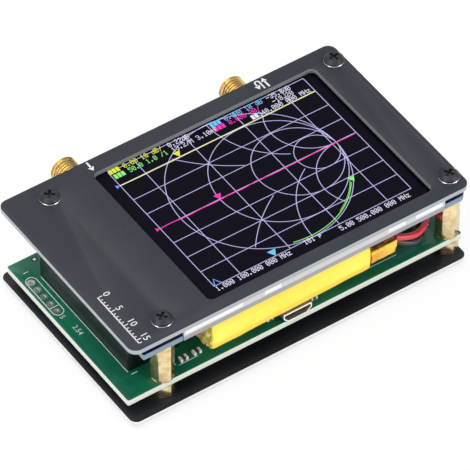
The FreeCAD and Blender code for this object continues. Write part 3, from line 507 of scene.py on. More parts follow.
ink = bmesh.new()
STADIUM_X, STADIUM_HALF, STADIUM_PAST_PADS = -42.3, 1.3, 0.2
STADIUM_LINE, INK_LINE, INK_TALL = 0.22 * MM, 0.2 * MM, 1.35 * MM
PAD_END_Y = PAD_START_Y - PAD_STEP * (PAD_COUNT - 1)
outline = []
for half_turn, end_y in ((0, PAD_START_Y + STADIUM_PAST_PADS), (1, PAD_END_Y - STADIUM_PAST_PADS)):
    for step in range(13):
        turn = math.pi * (half_turn + step / 12)
        outline.append(at(STADIUM_X + STADIUM_HALF * math.cos(turn),
                          end_y + STADIUM_HALF * math.sin(turn), ink_height))
flat_path(ink, outline + outline[:1], STADIUM_LINE)
divider_y = PAD_END_Y + PAD_STEP / 2
flat_strip(ink, at(STADIUM_X - STADIUM_HALF, divider_y, ink_height),
           at(STADIUM_X + STADIUM_HALF, divider_y, ink_height), STADIUM_LINE)
INK_LINES = (((-39.78, 17.3), (-39.72, -17.2)), ((-39.4, -18.15), (-37.9, -18.15)),
             ((-29.97, -20.07), (-29.97, -21.34)), ((-29.43, -21.72), (-24.3, -21.72)),
             ((21.2, -21.35), (28.7, -21.45)))
for start, end in INK_LINES:
    flat_strip(ink, at(*start, ink_height), at(*end, ink_height), INK_LINE)
INK_FIGURES = (("1", -42.5, 20.6), ("5", -43.1, 4.9), ("2.54", -42.4, 0.9))
for number, x, y in INK_FIGURES:
    figures(ink, number, at(x, y, ink_height), INK_TALL, TO_FRONT, TO_RIGHT)
INK_WHITE = mottled("board_white_ink", (214, 222, 218), (232, 238, 234), 0.55, broad=900.0)
show("board_ink", ink, INK_WHITE)

TINNED = mottled("tinned_lands", (206, 203, 196), (236, 233, 226), 0.28, metallic=0.85)
PAD_RING, SCREW_RING = (0.5 * MM, 0.92 * MM), (1.7 * MM, 2.6 * MM)
FIDUCIAL_RING, CLEARING_RING = (0.0001 * MM, 0.38 * MM), (0.42 * MM, 0.8 * MM)
lands = bmesh.new()
for step in range(PAD_COUNT):
    flat_ring(lands, at(PAD_X, PAD_START_Y - PAD_STEP * step, ink_height), *PAD_RING)
screw_places = [(x, y) for x in (-33.9, 42.1) for y in (-22.0, 22.0)]
for x, y in screw_places:
    flat_ring(lands, at(x, y, ink_height), *SCREW_RING)
FIDUCIALS = ((-38.07, 22.5), (39.7, -17.9))
for x, y in FIDUCIALS:
    flat_ring(lands, at(x, y, ink_height), *FIDUCIAL_RING)
show("board_lands", lands, TINNED)
DARK_RING = mottled("mask_clearing", (14, 30, 26), (20, 44, 38), 0.5)
clearings = bmesh.new()
for x, y in FIDUCIALS:
    flat_ring(clearings, at(x, y, ink_height), *CLEARING_RING)
show("board_clearings", clearings, DARK_RING)

# Standoffs and spacers: hexagon brass bar, turned and tapped. The short ones lift the board off
# the plate, the long ones carry the display board, and spacers stand between it and the panel.
BRASS = mottled("pale_brass", (206, 178, 128), (244, 222, 176), 0.2, metallic=0.95,
                broad=700.0, fine=1500.0, bump_mm=0.012)
for node in ("lower_standoffs", "upper_standoffs", "panel_spacers"):
    dressed(node, BRASS, 0.22, 2)

# Screws: black M3 pan heads with a cross recess, four through the panel and four under the plate.
# Round the foot of each head on the panel a thin bright steel ring is a painted highlight, for the
# light that the head's rim catches.
BLACK_STEEL = mottled("black_oxide_steel", (34, 36, 40), (46, 48, 53), 0.42, metallic=0.3)
for node in ("panel_screws", "plate_screws"):
    dressed(node, BLACK_STEEL, 0.12, 3)
# Painted highlight: thin bright rings round the rims of the panel screws' heads.
RIM_HIGHLIGHT_STEEL = mottled("painted_highlight_steel", (196, 198, 202), (228, 230, 234), 0.25, metallic=0.9)
HIGHLIGHT_FOOT_R, HIGHLIGHT_TOP_R, HIGHLIGHT_TALL, HIGHLIGHT_MIDDLE = 2.43 * MM, 2.36 * MM, 0.1 * MM, 0.055 * MM
rings = bmesh.new()
for x, y in screw_places:
    ring = bmesh.ops.create_cone(rings, cap_ends=False, segments=48, radius1=HIGHLIGHT_FOOT_R,
                                 radius2=HIGHLIGHT_TOP_R, depth=HIGHLIGHT_TALL)
    bmesh.ops.translate(rings, verts=ring["verts"], vec=at(x, y, panel_top + HIGHLIGHT_MIDDLE))
smooth_faces(rings)
show("screw_painted_highlight_rings", rings, RIM_HIGHLIGHT_STEEL)

# Display: its own navy board, a white moulded tray whose front wall carries foil patches and is
# painted lavender grey low down as painted shade, films that spread the light, and black glass
# under the panel's window.
NAVY_MASK = masked_board("display_board_mask", (8, 20, 52), (14, 34, 78),
                         (116, 134, 150), (140, 156, 170), 0.3, tracks=0.25, gloss=0.3)
dressed("display_board", NAVY_MASK, 0.1)
tray_low, tray_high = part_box("display_frame")


def place_share(tree, axis, start, end):
    """How far along one of the object's axes a place is, from 0 at start to 1 at end."""
    coords = tree.nodes.new("ShaderNodeTexCoord")
    parts = tree.nodes.new("ShaderNodeSeparateXYZ")
    tree.links.new(coords.outputs["Object"], parts.inputs[0])
    return stretch(tree, parts.outputs[axis], start, end, 0.0, 1.0)


TRAY_WHITE, tray_tree, tray_shader = finish_nodes("tray_white")
tray_grain = add_grain(tray_tree, 120.0, 2500.0)
# Below this height the tray is painted lavender grey: painted shade. The foils stand above it.
SHADE_TOP_Z = tray_low.z + 1.3 * MM
tray_above_painted_shade = place_share(tray_tree, "Z", SHADE_TOP_Z - 0.05 * MM, SHADE_TOP_Z + 0.05 * MM)
tray_pale = blend_colours(tray_tree, tray_grain.outputs["Broad"], srgb(190, 190, 188),
                          srgb(206, 206, 204))
tray_tree.links.new(blend_colours(tray_tree, tray_above_painted_shade, srgb(150, 147, 154), tray_pale),
                    tray_shader.inputs["Base Color"])
follow_grain(tray_tree, tray_shader, tray_grain, 0.4, 0.55)
add_bump(tray_tree, tray_shader, tray_grain.outputs["Fine"], 0.003)
dressed("display_frame", TRAY_WHITE, 0.12)
FILM = mottled("light_films", (190, 195, 205), (215, 218, 226), 0.3)
dressed("display_backlight", FILM, 0.05, 1)
GLASS_BLACK = mottled("screen_glass", (6, 5, 10), (9, 8, 14), 0.12, broad=40.0, fine=600.0,
                      bump_mm=0.0002)
GLASS_BLACK.node_tree.nodes["Principled BSDF"].inputs["Specular IOR Level"].default_value = 0.08
dressed("display_glass", GLASS_BLACK, 0.08)

tapes = bmesh.new()
FOILS = ((-30.3, -15.2), (-9.5, -5.2), (23.3, 27.9), (30.6, 37.8))
FOIL_THICK = 0.06 * MM
FOIL_TALL = tray_high.z - SHADE_TOP_Z - 0.9 * MM
for foil_start, foil_end in FOILS:
    block = bmesh.ops.create_cube(tapes, size=1.0)["verts"]
    foil_size = ((foil_end - foil_start) * MM, FOIL_THICK, FOIL_TALL)
    foil_place = (MIDDLE.x + (foil_start + foil_end) / 2 * MM, tray_low.y - FOIL_THICK / 2,
                  (SHADE_TOP_Z + tray_high.z) / 2)
    bmesh.ops.scale(tapes, vec=foil_size, verts=block)
    bmesh.ops.translate(tapes, verts=block, vec=foil_place)
FOIL = mottled("tray_foil", (226, 227, 229), (238, 238, 240), 0.35)
show("display_foils", tapes, FOIL)

# Screen picture: a lit field with the measuring grid, the round chart of circles and arcs that
# such analyzers draw, two level traces, a curve round the chart, markers, and plain figures.
screen_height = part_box("display_glass")[1].z
LAYER = 0.012 * MM
GRID_LAYER, CHART_LAYER, TRACE_LAYER, MARK_LAYER, FIGURE_LAYER = 2, 3, 4, 5, 6


def lit(name, colour, strength=1.0, shade=0.9, gloss=0.1):
    """A colour that the screen gives out by itself, with the dot grid's faint unevenness."""
    material, tree, shader = finish_nodes(name)
    grain = add_grain(tree, 500.0, 4000.0)
    dim = tuple(part * shade for part in colour[:3]) + (1.0,)
    uneven = stretch(tree, grain.outputs["Fine"], 0.3, 0.7, 0.0, 1.0)
    tree.links.new(blend_colours(tree, uneven, dim, colour), shader.inputs["Emission Color"])
    shader.inputs["Emission Strength"].default_value = strength
    shader.inputs["Base Color"].default_value = (0.002, 0.002, 0.003, 1.0)
    shader.inputs["Roughness"].default_value = 0.3
    shader.inputs["Specular IOR Level"].default_value = gloss
    return material


FIELD_X, FIELD_Y = (-21.6, 36.2), (-22.6, 22.7)
field = bmesh.new()
FIELD_CORNERS = ((0, 0), (1, 0), (1, 1), (0, 1))
flat_shape(field, [at(FIELD_X[right], FIELD_Y[top], screen_height + LAYER)
                   for right, top in FIELD_CORNERS])
FIELD_DARK = lit("screen_dark", srgb(12, 10, 26), 0.6, gloss=0.04)
show("screen_field", field, FIELD_DARK)

GRID_LEFT, GRID_RIGHT, GRID_TOP, GRID_FIRST, GRID_STEP = -18.4, 33.9, 22.25, 17.5, 5.24
GRID_ACROSS = (-18.4, -11.6, 1.65, 14.7, 27.5, 33.9)
LINE = 0.17 * MM
SCREEN_COLOURS = {
    "lilac": srgb(204, 198, 250), "yellow": srgb(255, 252, 186), "green": srgb(150, 250, 130),
    "cyan": srgb(120, 205, 252), "pink": srgb(250, 60, 190), "white": srgb(236, 234, 255),
    "blue": srgb(120, 160, 255), "amber": srgb(240, 238, 70),
}
drawings = {name: bmesh.new() for name in SCREEN_COLOURS}


def row_y(row):
    """The height of a grid line: the title row is a little lower than the seven others."""
    return GRID_TOP if row == 0 else GRID_FIRST - GRID_STEP * (row - 1)


def on_screen(x, y, layer=GRID_LAYER):
    """A place on the glass, on one of the thin layers in which the picture is drawn."""
    return at(x, y, screen_height + LAYER * layer)


for row in range(9):
    flat_strip(drawings["lilac"], on_screen(GRID_LEFT, row_y(row)),
               on_screen(GRID_RIGHT, row_y(row)), LINE)
for grid_x in GRID_ACROSS:
    flat_strip(drawings["lilac"], on_screen(grid_x, row_y(0)), on_screen(grid_x, row_y(8)), LINE)

CHART_X, CHART_Y, CHART_R = (GRID_LEFT + GRID_RIGHT) / 2, 1.65, 20.75


def chart_arc(centre_x, centre_y, radius, colour, width, layer=CHART_LAYER, clear=0.0,
              span=(0, 360)):
    """The stretch of a circle inside the chart's rim, and outside the circle that it stops at."""
    runs = [[]]
    steps = 144
    for step in range(steps + 1):
        turn = math.radians(span[0] + (span[1] - span[0]) * step / steps)
        x, y = centre_x + radius * math.cos(turn), centre_y + radius * math.sin(turn)
        stopped = math.hypot(x - CHART_R * (1 - clear), y) < CHART_R * clear * 0.999
        if math.hypot(x, y) <= CHART_R * 1.0005 and not stopped:
            runs[-1].append(on_screen(CHART_X + x, CHART_Y + y, layer))
        elif runs[-1]:
            runs.append([])
    for run in runs:
        if len(run) > 1:
            flat_path(drawings[colour], run, width)


for share in (1.0, 0.75, 0.5, 0.25):
    chart_arc(CHART_R * (1 - share), 0, CHART_R * share, "lilac", LINE)
for share, clear in ((0.5, 0.0), (1.0, 0.25), (2.0, 0.5)):
    for side in (1, -1):
        chart_arc(CHART_R, side * CHART_R * share, CHART_R * share, "lilac", LINE, clear=clear)
flat_strip(drawings["lilac"], on_screen(CHART_X - CHART_R, CHART_Y, CHART_LAYER),
           on_screen(CHART_X + CHART_R, CHART_Y, CHART_LAYER), LINE)

READINGS = 101


def trace(colour, level, waver, width, seed):
    """A measured curve across the grid: nearly level, with the small steps of real readings."""
    places = []
    for step in range(READINGS + 1):
        x = GRID_LEFT + (GRID_RIGHT - GRID_LEFT) * step / READINGS
        y = level + noise.noise(Vector((step * 0.09, seed, 0.0))) * waver
        places.append(on_screen(x, y, TRACE_LAYER))
    flat_path(drawings[colour], places, width)


trace("yellow", row_y(1) - 0.1, 0.12, 0.28 * MM, 1.7)
trace("pink", row_y(4) - 0.15, 0.35, 0.26 * MM, 5.1)
chart_arc(0, 0, CHART_R * 0.975, "green", 0.2 * MM, TRACE_LAYER, span=(-103, -36))
chart_arc(0, 0, CHART_R * 0.962, "green", 0.12 * MM, TRACE_LAYER, span=(-62, -34))


def marker(colour, x, y, size):
    """A small triangle that points down at a reading."""
    half = size * 0.58
    flat_shape(drawings[colour], [on_screen(x, y, MARK_LAYER),
                                  on_screen(x + half, y + size, MARK_LAYER),
                                  on_screen(x - half, y + size, MARK_LAYER)])


marker("amber", -2.5, 17.5, 1.7)
marker("pink", -2.4, 1.6, 1.7)
marker("cyan", -2.2, -19.2, 1.9)
marker("green", 24.9, -10.4, 1.5)
START_MARK, START_LINE = ((-18.2, -19.1), (-17.4, -17.3), (-16.5, -19.1)), 0.3 * MM
flat_path(drawings["blue"], [on_screen(x, y, MARK_LAYER) for x, y in START_MARK], START_LINE)
EDGE_MARK_LONG, EDGE_MARK_HALF = 1.0 * MM, 0.55 * MM
for colour, row in (("blue", 1), ("pink", 4)):
    tip = on_screen(GRID_LEFT, row_y(row), MARK_LAYER)
    flat_shape(drawings[colour], (tip, tip + Vector((-EDGE_MARK_LONG, EDGE_MARK_HALF, 0)),
                                  tip + Vector((-EDGE_MARK_LONG, -EDGE_MARK_HALF, 0))))

# Figures on the screen's own dot grid, five wide and seven tall: each sign is a string of its
# rows from the top, with a one for each lit dot.
DOTS = {
    "0": "01110 10001 10011 10101 11001 10001 01110", "1": "00100 01100 00100 00100 00100 00100 01110",
    "2": "01110 10001 00001 00110 01000 10000 11111", "3": "01110 10001 00001 00110 00001 10001 01110",
    "4": "00010 00110 01010 10010 11111 00010 00010", "5": "11111 10000 11110 00001 00001 10001 01110",
    "8": "01110 10001 10001 01110 10001 10001 01110", "9": "01110 10001 10001 01111 00001 00001 01110",
    ".": "00000 00000 00000 00000 00000 01100 01100", "-": "00000 00000 00000 11111 00000 00000 00000",
    "/": "00001 00010 00010 00100 01000 01000 10000",
    "d": "00001 00001 01101 10011 10001 10011 01101", "B": "11110 10001 10001 11110 10001 10001 11110",
    "M": "10001 11011 10101 10101 10001 10001 10001", "H": "10001 10001 10001 11111 10001 10001 10001",
    "z": "00000 00000 11111 00010 00100 01000 11111", "p": "00000 00000 11110 10001 11110 10000 10000",
    "F": "11111 10000 10000 11110 10000 10000 10000", "#": "11111 11111 11111 11111 11111 11111 11111",
}


def dot_text(bm, words, corner, across, up):
    """Writes figures from a corner; across and up are one dot's step along the line and upwards."""
    for place, sign in enumerate(words):
        rows = DOTS.get(sign, "").split()
        for row, pattern in enumerate(rows):
            for column, dot in enumerate(pattern):
                if dot == "1":
                    low = corner + across * (place * 6 + column) + up * (6 - row)
                    flat_shape(bm, (low, low + across, low + across + up, low + up))


DOT_ACROSS, DOT_UP = Vector((0.156 * MM, 0.0, 0.0)), Vector((0.0, 0.2 * MM, 0.0))
TITLE_1, TITLE_2, TITLE_3, FOOT = 21.15, 19.4, 17.75, -20.85
WRITING = (
    ("amber", "### 0.00 10 dB/", -18.3, TITLE_1 + 0.2),
    ("green", "### 50.0 1.0 /1", -18.0, TITLE_2 + 0.2),
    ("white", "0.22dB", -2.9, TITLE_1 - 0.1), ("white", "13.2/M 3.10pF", -2.9, TITLE_2),
    ("cyan", "### 0.000 10 dB", 8.3, TITLE_1 - 0.25),
    ("pink", "### 0.000 90/", 8.5, TITLE_2 - 0.05),
    ("white", "-35.8dB", 23.4, TITLE_1 - 0.2), ("white", "-18.20", 24.0, TITLE_2 - 0.1),
    ("white", "##340.000 000 MHz", 17.3, TITLE_3), ("white", "1.000 100.000 000 MHz", -18.5, FOOT),
    ("white", "5.00 500.000 000 MHz", 13.9, FOOT - 0.3), ("white", "101 p", 5.0, FOOT + 0.6),
)
for colour, words, x, y in WRITING:
    dot_text(drawings[colour], words, on_screen(x, y, FIGURE_LAYER), DOT_ACROSS, DOT_UP)
for colour, drawing in drawings.items():
    light = lit("screen_" + colour + "_light", SCREEN_COLOURS[colour])
    show("screen_" + colour, drawing, light)

# Shield: a lid of dark coated sheet steel with folded, rounded corners, soldered over the radio
# chips at the left of the board.
SHIELD_COAT = mottled("shield_coat", (14, 18, 18), (24, 30, 29), 0.34, metallic=0.2, broad=90.0)
dressed("rf_shield", SHIELD_COAT, 0.08)
CHIP_EPOXY = mottled("chip_epoxy", (20, 20, 22), (32, 32, 34), 0.55)
for node in ("radio_chips", "microcontroller", "clock_chips", "charger_chips", "header_base",
             "header_socket"):
    dressed(node, CHIP_EPOXY, 0.08)

# Battery: a pouch cell wrapped in yellow film tape. The film pulls tight over the long sides,
# creases at the left end where it is folded over, with patches of painted shade and painted
# highlight on those creases, and amber tape covers the safety circuit.
cell_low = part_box("battery_cell")[0]
CELL_LONG, CELL_WIDE, CELL_THICK, CELL_TURN = 43.7, 30.0, 8.0, math.radians(0.9)
FOLD_LONG = 1.9 * MM

FILM_YELLOW, yellow_tree, yellow_shader = finish_nodes("yellow_film")
yellow_grain = add_grain(yellow_tree, 60.0, 900.0)
yellow_tone = stretch(yellow_tree, yellow_grain.outputs["Broad"], 0.35, 0.65, 0.0, 1.0)
film_tone = blend_colours(yellow_tree, yellow_tone, srgb(250, 222, 62), srgb(255, 232, 84))
# The film is a deeper, darker yellow towards the bottom.
deeper_yellow_low = place_share(yellow_tree, "Z", cell_low.z + 2.6 * MM, cell_low.z + 1.9 * MM)
film_tone = blend_colours(yellow_tree, deeper_yellow_low, film_tone, srgb(244, 204, 56))
# Left end: dark olive patches are painted shade inside the creases, pale ones painted highlights on
# their ridges.
fold_shading_noise = add_grain(yellow_tree, 420.0, 900.0)
fold_shade_highlight_patches = stretch(yellow_tree, fold_shading_noise.outputs["Broad"], 0.42, 0.58, 0.0, 1.0)
fold_place = place_share(yellow_tree, "X", cell_low.x + FOLD_LONG, cell_low.x + 0.4 * MM)
fold_painted_shade_and_highlight = blend_colours(yellow_tree, fold_shade_highlight_patches, srgb(66, 64, 34), srgb(250, 240, 158))
film_tone = blend_colours(yellow_tree, fold_place, film_tone, fold_painted_shade_and_highlight)
yellow_tree.links.new(film_tone, yellow_shader.inputs["Base Color"])
follow_grain(yellow_tree, yellow_shader, yellow_grain, 0.34, 0.5)
add_bump(yellow_tree, yellow_shader, yellow_grain.outputs["Fine"], 0.02, 0.5)


def cut_across(bm, place, normal, clear_outer=False):
    """Cuts a whole mesh along a plane, and may take away what lies past it."""
    bmesh.ops.bisect_plane(bm, geom=bm.verts[:] + bm.edges[:] + bm.faces[:], plane_co=place,
                           plane_no=normal, clear_outer=clear_outer)


FILM_SLACK = 0.06
CUT_LONG, CUTS_ACROSS, CUTS_UP = 0.6, 40, 12
RIPPLE_PITCH, CREASE_PITCH, FOLD_PITCH = (90.0, 260.0, 260.0), (300.0, 620.0, 700.0), 330.0
FOLD_START = Vector((3.1, 0.4, 7.7))


def film_pack(name, node, size, rounding, rim, ripple, gather, facets, material):
    """A taped block in the battery's own frame: rounded along its sides, then creased.

    Ripple is the depth of its soft waves in millimetres, gather that of the creases at its left
    end, and facets the depth of the sharp folds in crumpled tape."""
    length, width, thick = (side * MM for side in size)
    low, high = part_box(node)
    bm = bmesh.new()
    bmesh.ops.create_cube(bm, size=1.0)
    bmesh.ops.scale(bm, vec=(length, width, thick), verts=bm.verts[:])
    for top, radius in zip((False, True), rounding):
        sides = [edge for edge in bm.edges
                 if abs(edge.verts[0].co.x - edge.verts[1].co.x) > length * 0.5
                 and (edge.verts[0].co.z > 0) == top]
        bmesh.ops.bevel(bm, geom=sides, offset=radius * MM, segments=5, affect="EDGES",
                        profile=0.5, material=-1)
    steps = max(8, int(size[0] / CUT_LONG))
    places = [length * (cut / steps - 0.5) for cut in range(1, steps)]
    for share in (0.08, 0.3, 0.6):
        places += [length / 2 - rim * share * MM, rim * share * MM - length / 2]
    for place in places:
        cut_across(bm, (place, 0, 0), (1, 0, 0))
    for cut in range(1, CUTS_ACROSS):
        cut_across(bm, (0, width * (cut / CUTS_ACROSS - 0.5), 0), (0, 1, 0))
    for cut in range(1, CUTS_UP):
        cut_across(bm, (0, 0, thick * (cut / CUTS_UP - 0.5)), (0, 0, 1))
    bmesh.ops.recalc_face_normals(bm, faces=bm.faces[:])
    bm.normal_update()
    for vert in bm.verts:
        past = min(max(0.0, (abs(vert.co.x) - length / 2) / (rim * MM) + 1.0), 1.0)
        inset = rim * MM * (1.0 - math.sqrt(1.0 - past * past))
        vert.co.y *= 1.0 - inset / (width / 2)
        vert.co.z *= 1.0 - inset / (thick / 2)
    bm.normal_update()
    moves = []
    for vert in bm.verts:
        near_left = max(0.0, 1.0 - (vert.co.x + length / 2) / FOLD_LONG)
        wave = abs(noise.noise(vert.co * Vector(RIPPLE_PITCH)))
        crease = abs(noise.noise(vert.co * Vector(CREASE_PITCH)))
        fold = abs(noise.noise(vert.co * FOLD_PITCH + FOLD_START))
        moves.append(-FILM_SLACK - wave * ripple - crease * near_left * gather - fold * facets)
    for vert, depth in zip(bm.verts, moves):
        vert.co += vert.normal * depth * MM
    smooth_faces(bm, 50.0)
    turn = Matrix.Rotation(CELL_TURN, 3, "Z")
    bmesh.ops.rotate(bm, cent=(0, 0, 0), matrix=turn, verts=bm.verts[:])
    bmesh.ops.translate(bm, vec=(low + high) / 2, verts=bm.verts[:])
    show(name, bm, material, replaces=(node,))


film_pack("battery_cell_film", "battery_cell", (CELL_LONG, CELL_WIDE, CELL_THICK),
          rounding=(1.2, 2.2), rim=0.9, ripple=0.22, gather=2.6, facets=0.0, material=FILM_YELLOW)
end_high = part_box("battery_safety_circuit")[1]
AMBER_FILM, amber_tree, amber_shader = finish_nodes("amber_film")
amber_grain = add_grain(amber_tree, 220.0, 900.0)
amber_tone = stretch(amber_tree, amber_grain.outputs["Broad"], 0.4, 0.6, 0.0, 1.0)
amber_front = blend_colours(amber_tree, amber_tone, srgb(226, 156, 34), srgb(255, 204, 62))
amber_top = blend_colours(amber_tree, amber_tone, srgb(70, 48, 30), srgb(196, 132, 40))
amber_level = place_share(amber_tree, "Z", end_high.z - 0.9 * MM, end_high.z - 0.5 * MM)
amber_tree.links.new(blend_colours(amber_tree, amber_level, amber_front, amber_top),
                     amber_shader.inputs["Base Color"])
follow_grain(amber_tree, amber_shader, amber_grain, 0.2, 0.34)
add_bump(amber_tree, amber_shader, amber_grain.outputs["Broad"], 0.15, 0.4)
film_pack("battery_end_film", "battery_safety_circuit", (7.4, 29.2, 4.9), rounding=(1.0, 1.0),
          rim=0.5, ripple=0.2, gather=0.0, facets=0.9, material=AMBER_FILM)
FOAM = mottled("foam_tape", (190, 190, 184), (214, 214, 208), 0.9, fine=5000.0, bump_mm=0.05)
dressed("battery_foam_pads", FOAM, 0.1)

# Battery leads: stranded wire in soft silicone, a red one over a black one, looping from the
# safety circuit round to the plug on the board. The routes are the solids' own points.
LEAD_WIDE = 1.6 * MM
LEADS = {
    "battery_lead_red": (((28.06, -21.89, 6.3), (31.62, -23.03, 5.2), (36.08, -21.37, 4.0),
                          (39.91, -17.61, 3.18), (38.5, -10.85, 2.9)),
                         (206, 34, 54), (226, 60, 78)),
    "battery_lead_black": (((28.04, -20.79, 4.3), (31.56, -22.61, 2.6), (35.57, -21.62, 1.4),
                            (38.26, -16.99, 1.68), (36.5, -10.85, 2.9)),
                           (22, 22, 24), (38, 38, 42)),
}
for node, (route, deep, bright) in LEADS.items():
    wire = bpy.data.curves.new(node + "_wire", "CURVE")
    wire.dimensions = "3D"
    wire.bevel_depth = LEAD_WIDE / 2
    wire.bevel_resolution = 6
    wire.resolution_u = 24
    wire.use_fill_caps = True
    line = wire.splines.new("NURBS")
    line.points.add(len(route) - 1)
    for point, (x, y, z) in zip(line.points, route):
        point.co = (*at(x, y, board_top + z * MM), 1.0)
    line.order_u = 3
    line.use_endpoint_u = True
    wire.materials.append(mottled(node + "_silicone", deep, bright, 0.32, coat=0.2))
    lead = bpy.data.objects.new(node + "_wire", wire)
    scene.collection.objects.link(lead)
    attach(lead, "root")
    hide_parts(node)

# Battery connector and header: a natural nylon plug pushed into its shroud, and the gold pins
# that join the two boards.
NYLON = mottled("natural_nylon", (214, 208, 192), (232, 228, 214), 0.5)
for node in ("battery_plug", "battery_socket"):
    dressed(node, NYLON, 0.15)
GOLD_PIN = mottled("gold_pins", (214, 170, 90), (240, 204, 130), 0.25, metallic=1.0)
dressed("header_pins", GOLD_PIN, 0.05, 1)

# Coaxial ports: gold-plated brass. The block and legs are the solid's; the barrel is turned here
# with its real coupling thread, 36 turns to the inch, between a relieved neck and a chamfered lip.
GOLD = mottled("gold_plating", (226, 190, 112), (246, 218, 152), 0.26, metallic=0.9,
               broad=300.0, fine=1200.0, bump_mm=0.002)
THREAD_STEP, THREAD_DEEP = 25.4 / 36, 0.36
PORT_LONG, PORT_NECK, PORT_CHAMFER = 15.6, 1.6, 0.6
NECK_R, CREST_R, BORE_R = 2.7, 3.175, 2.1
ROOT_R = CREST_R - THREAD_DEEP
TURN_STEPS, THREAD_WELD = 40, 0.002 * MM
THREAD_LEAD, THREAD_SHORT, NECK_SLOPE, LIP_SLOPE = 0.3 * MM, 0.75 * MM, 0.12 * MM, 0.14 * MM
LIP_BEVEL_R, LIP_BEVEL_LONG, BORE_PAST_FACE = 0.25, 0.3 * MM, 2 * MM


def turned(bm, profile, axis_x, axis_z, steps, turns=1, rise=0.0):
    """Spins a profile of (radius, place along Y) pairs about an axis that runs along Y.

    A rise for each step makes a thread of that many turns."""
    verts = [bm.verts.new((axis_x + radius, along, axis_z)) for radius, along in profile]
    edges = [bm.edges.new(pair) for pair in zip(verts, verts[1:])]
    bmesh.ops.spin(bm, geom=verts + edges, cent=(axis_x, 0, axis_z), axis=(0, 1, 0),
                   dvec=(0, rise, 0), angle=2 * math.pi * turns, steps=steps * turns,
                   use_merge=not rise)


for number in (1, 2):
    node = "port_%d_connector" % number
    low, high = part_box(node)
    axis_x = (low.x + high.x) / 2
    mount = [entry for entry in frame["record"]["mounts"] if entry["name"] == "port_%d" % number][0]
    axis_z = mount["pos_m"][2]
    tip_y = high.y
    face_y = tip_y - PORT_LONG * MM
    block = welded(node)
    cut_across(block, (0, face_y + 0.02 * MM, 0), (0, 1, 0), clear_outer=True)
    join_flats(block)
    smooth_faces(block)
    neck_end = face_y + PORT_NECK * MM
    thread_start = neck_end + THREAD_LEAD
    thread_end = tip_y - THREAD_SHORT
    turns = int((thread_end - neck_end) / (THREAD_STEP * MM)) - 1
    barrel = ((BORE_R, face_y), (NECK_R, face_y), (NECK_R, neck_end),
              (ROOT_R, neck_end + NECK_SLOPE), (ROOT_R, thread_end),
              (CREST_R, thread_end + LIP_SLOPE), (CREST_R, tip_y - PORT_CHAMFER * MM),
              (CREST_R - PORT_CHAMFER, tip_y), (BORE_R + LIP_BEVEL_R, tip_y),
              (BORE_R, tip_y - LIP_BEVEL_LONG), (BORE_R, face_y - BORE_PAST_FACE))
    turned(block, [(radius * MM, along) for radius, along in barrel], axis_x, axis_z, 48)
    tooth = ((ROOT_R, 0.0), (CREST_R, 0.30), (CREST_R, 0.42), (ROOT_R, 0.7056))
    turned(block, [(radius * MM, thread_start + along * MM) for radius, along in tooth], axis_x,
           axis_z, TURN_STEPS, turns, THREAD_STEP * MM / TURN_STEPS)
    bmesh.ops.remove_doubles(block, verts=block.verts[:], dist=THREAD_WELD)
    bmesh.ops.recalc_face_normals(block, faces=block.faces[:])
    smooth_faces(block, 40.0)
    show("port_%d_thread" % number, block, GOLD, replaces=(node,))
INSULATOR = mottled("port_insulator", (222, 222, 218), (238, 238, 234), 0.5)
for number in (1, 2):
    dressed("port_%d_insulator" % number, INSULATOR, 0.06)
    dressed("port_%d_contact" % number, GOLD, 0.05)

# Charging socket: a folded, tin-plated steel shell with a dark tongue. Behind its thin bright front
# lip the shell is painted a darker brownish grey, painted shade for the inside of the socket. It
# stands at the board's front edge.
STEEL = mottled("tinned_steel", (176, 176, 174), (214, 214, 212), 0.24, metallic=0.9,
                bump_mm=0.0008)
usb_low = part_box("usb_shell")[0]
USB_STEEL, usb_tree, usb_shader = finish_nodes("socket_steel")
usb_grain = add_grain(usb_tree, 300.0, 2500.0)
# Painted shade: all of the shell behind the front lip takes the darker brownish grey.
usb_shade_depth = place_share(usb_tree, "Y", usb_low.y + 0.12 * MM, usb_low.y + 0.2 * MM)
usb_painted_shade = blend_colours(usb_tree, usb_grain.outputs["Broad"], srgb(118, 108, 98),
                           srgb(140, 130, 118))
usb_tree.links.new(blend_colours(usb_tree, usb_shade_depth, srgb(244, 244, 240), usb_painted_shade),
                   usb_shader.inputs["Base Color"])
follow_grain(usb_tree, usb_shader, usb_grain, 0.3, 0.4)
usb_shader.inputs["Metallic"].default_value = 0.5
dressed("usb_shell", USB_STEEL, 0.06)
dressed("usb_tongue", CHIP_EPOXY, 0.05, 1)

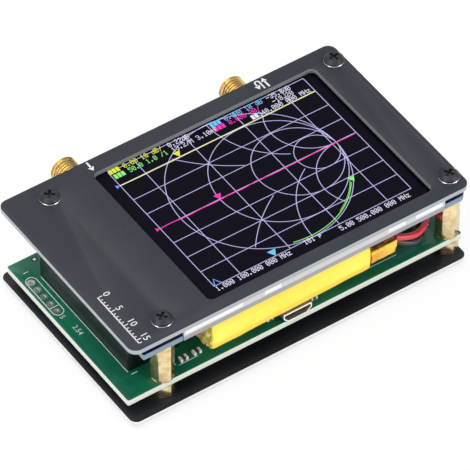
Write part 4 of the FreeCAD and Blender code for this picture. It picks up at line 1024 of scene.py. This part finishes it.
# Push buttons and power switch: pressed steel cans on the board's short edge, with black plungers
# that travel a quarter of a millimetre and a knob that slides in its slot.
ACTUATOR = mottled("black_actuator", (24, 24, 26), (36, 36, 40), 0.5)
for name in ("left", "enter", "right"):
    dressed("button_%s_housing" % name, STEEL, 0.12)
    dressed("button_%s_plunger" % name, ACTUATOR, 0.12, body="button_" + name)
dressed("power_switch_housing", STEEL, 0.12)
dressed("power_switch_knob", ACTUATOR, 0.12, body="power_switch")

# Small parts: two status lights and the ceramic parts beside them, all with white tinned ends
# that solder them to their pads.
CERAMIC = mottled("ceramic", (84, 80, 74), (120, 112, 100), 0.5)
LIGHT_BODY = mottled("light_body", (40, 62, 52), (66, 92, 78), 0.35)
END_CAP = mottled("tinned_end", (240, 240, 236), (252, 252, 250), 0.4)


def within(face, low, high, slack=0.000001):
    """Whether a face's middle is in a box."""
    middle = face.calc_center_median()
    return all(low[axis] - slack <= middle[axis] <= high[axis] + slack for axis in range(3))


def capped(node, cap_share, body_finish):
    """Chips whose two ends are tinned: each loose block of the node is cut near both its ends."""
    bm = welded(node)
    join_flats(bm)
    blocks, seen = [], set()
    for first in bm.verts:
        if first in seen:
            continue
        block, waiting = {first}, [first]
        while waiting:
            vert = waiting.pop()
            for edge in vert.link_edges:
                other = edge.other_vert(vert)
                if other not in block:
                    block.add(other)
                    waiting.append(other)
        seen |= block
        low = Vector([min(vert.co[axis] for vert in block) for axis in range(3)])
        high = Vector([max(vert.co[axis] for vert in block) for axis in range(3)])
        blocks.append((low, high))
    for low, high in blocks:
        along = 0 if high.x - low.x >= high.y - low.y else 1
        cap = (high[along] - low[along]) * cap_share
        normal = Vector((1.0 - along, float(along), 0.0))
        for place in (low[along] + cap, high[along] - cap):
            faces = [face for face in bm.faces if within(face, low, high)]
            edges = {edge for face in faces for edge in face.edges}
            verts = {vert for face in faces for vert in face.verts}
            bmesh.ops.bisect_plane(bm, geom=list(verts) + list(edges) + faces,
                                   plane_co=normal * place, plane_no=normal)
        for face in bm.faces:
            if within(face, low, high):
                middle = face.calc_center_median()[along]
                body = low[along] + cap <= middle <= high[along] - cap
                face.material_index = 0 if body else 1
    show(node + "_finish", bm, (body_finish, END_CAP), replaces=(node,))


capped("status_lights", 0.3, LIGHT_BODY)
capped("small_parts", 0.25, CERAMIC)
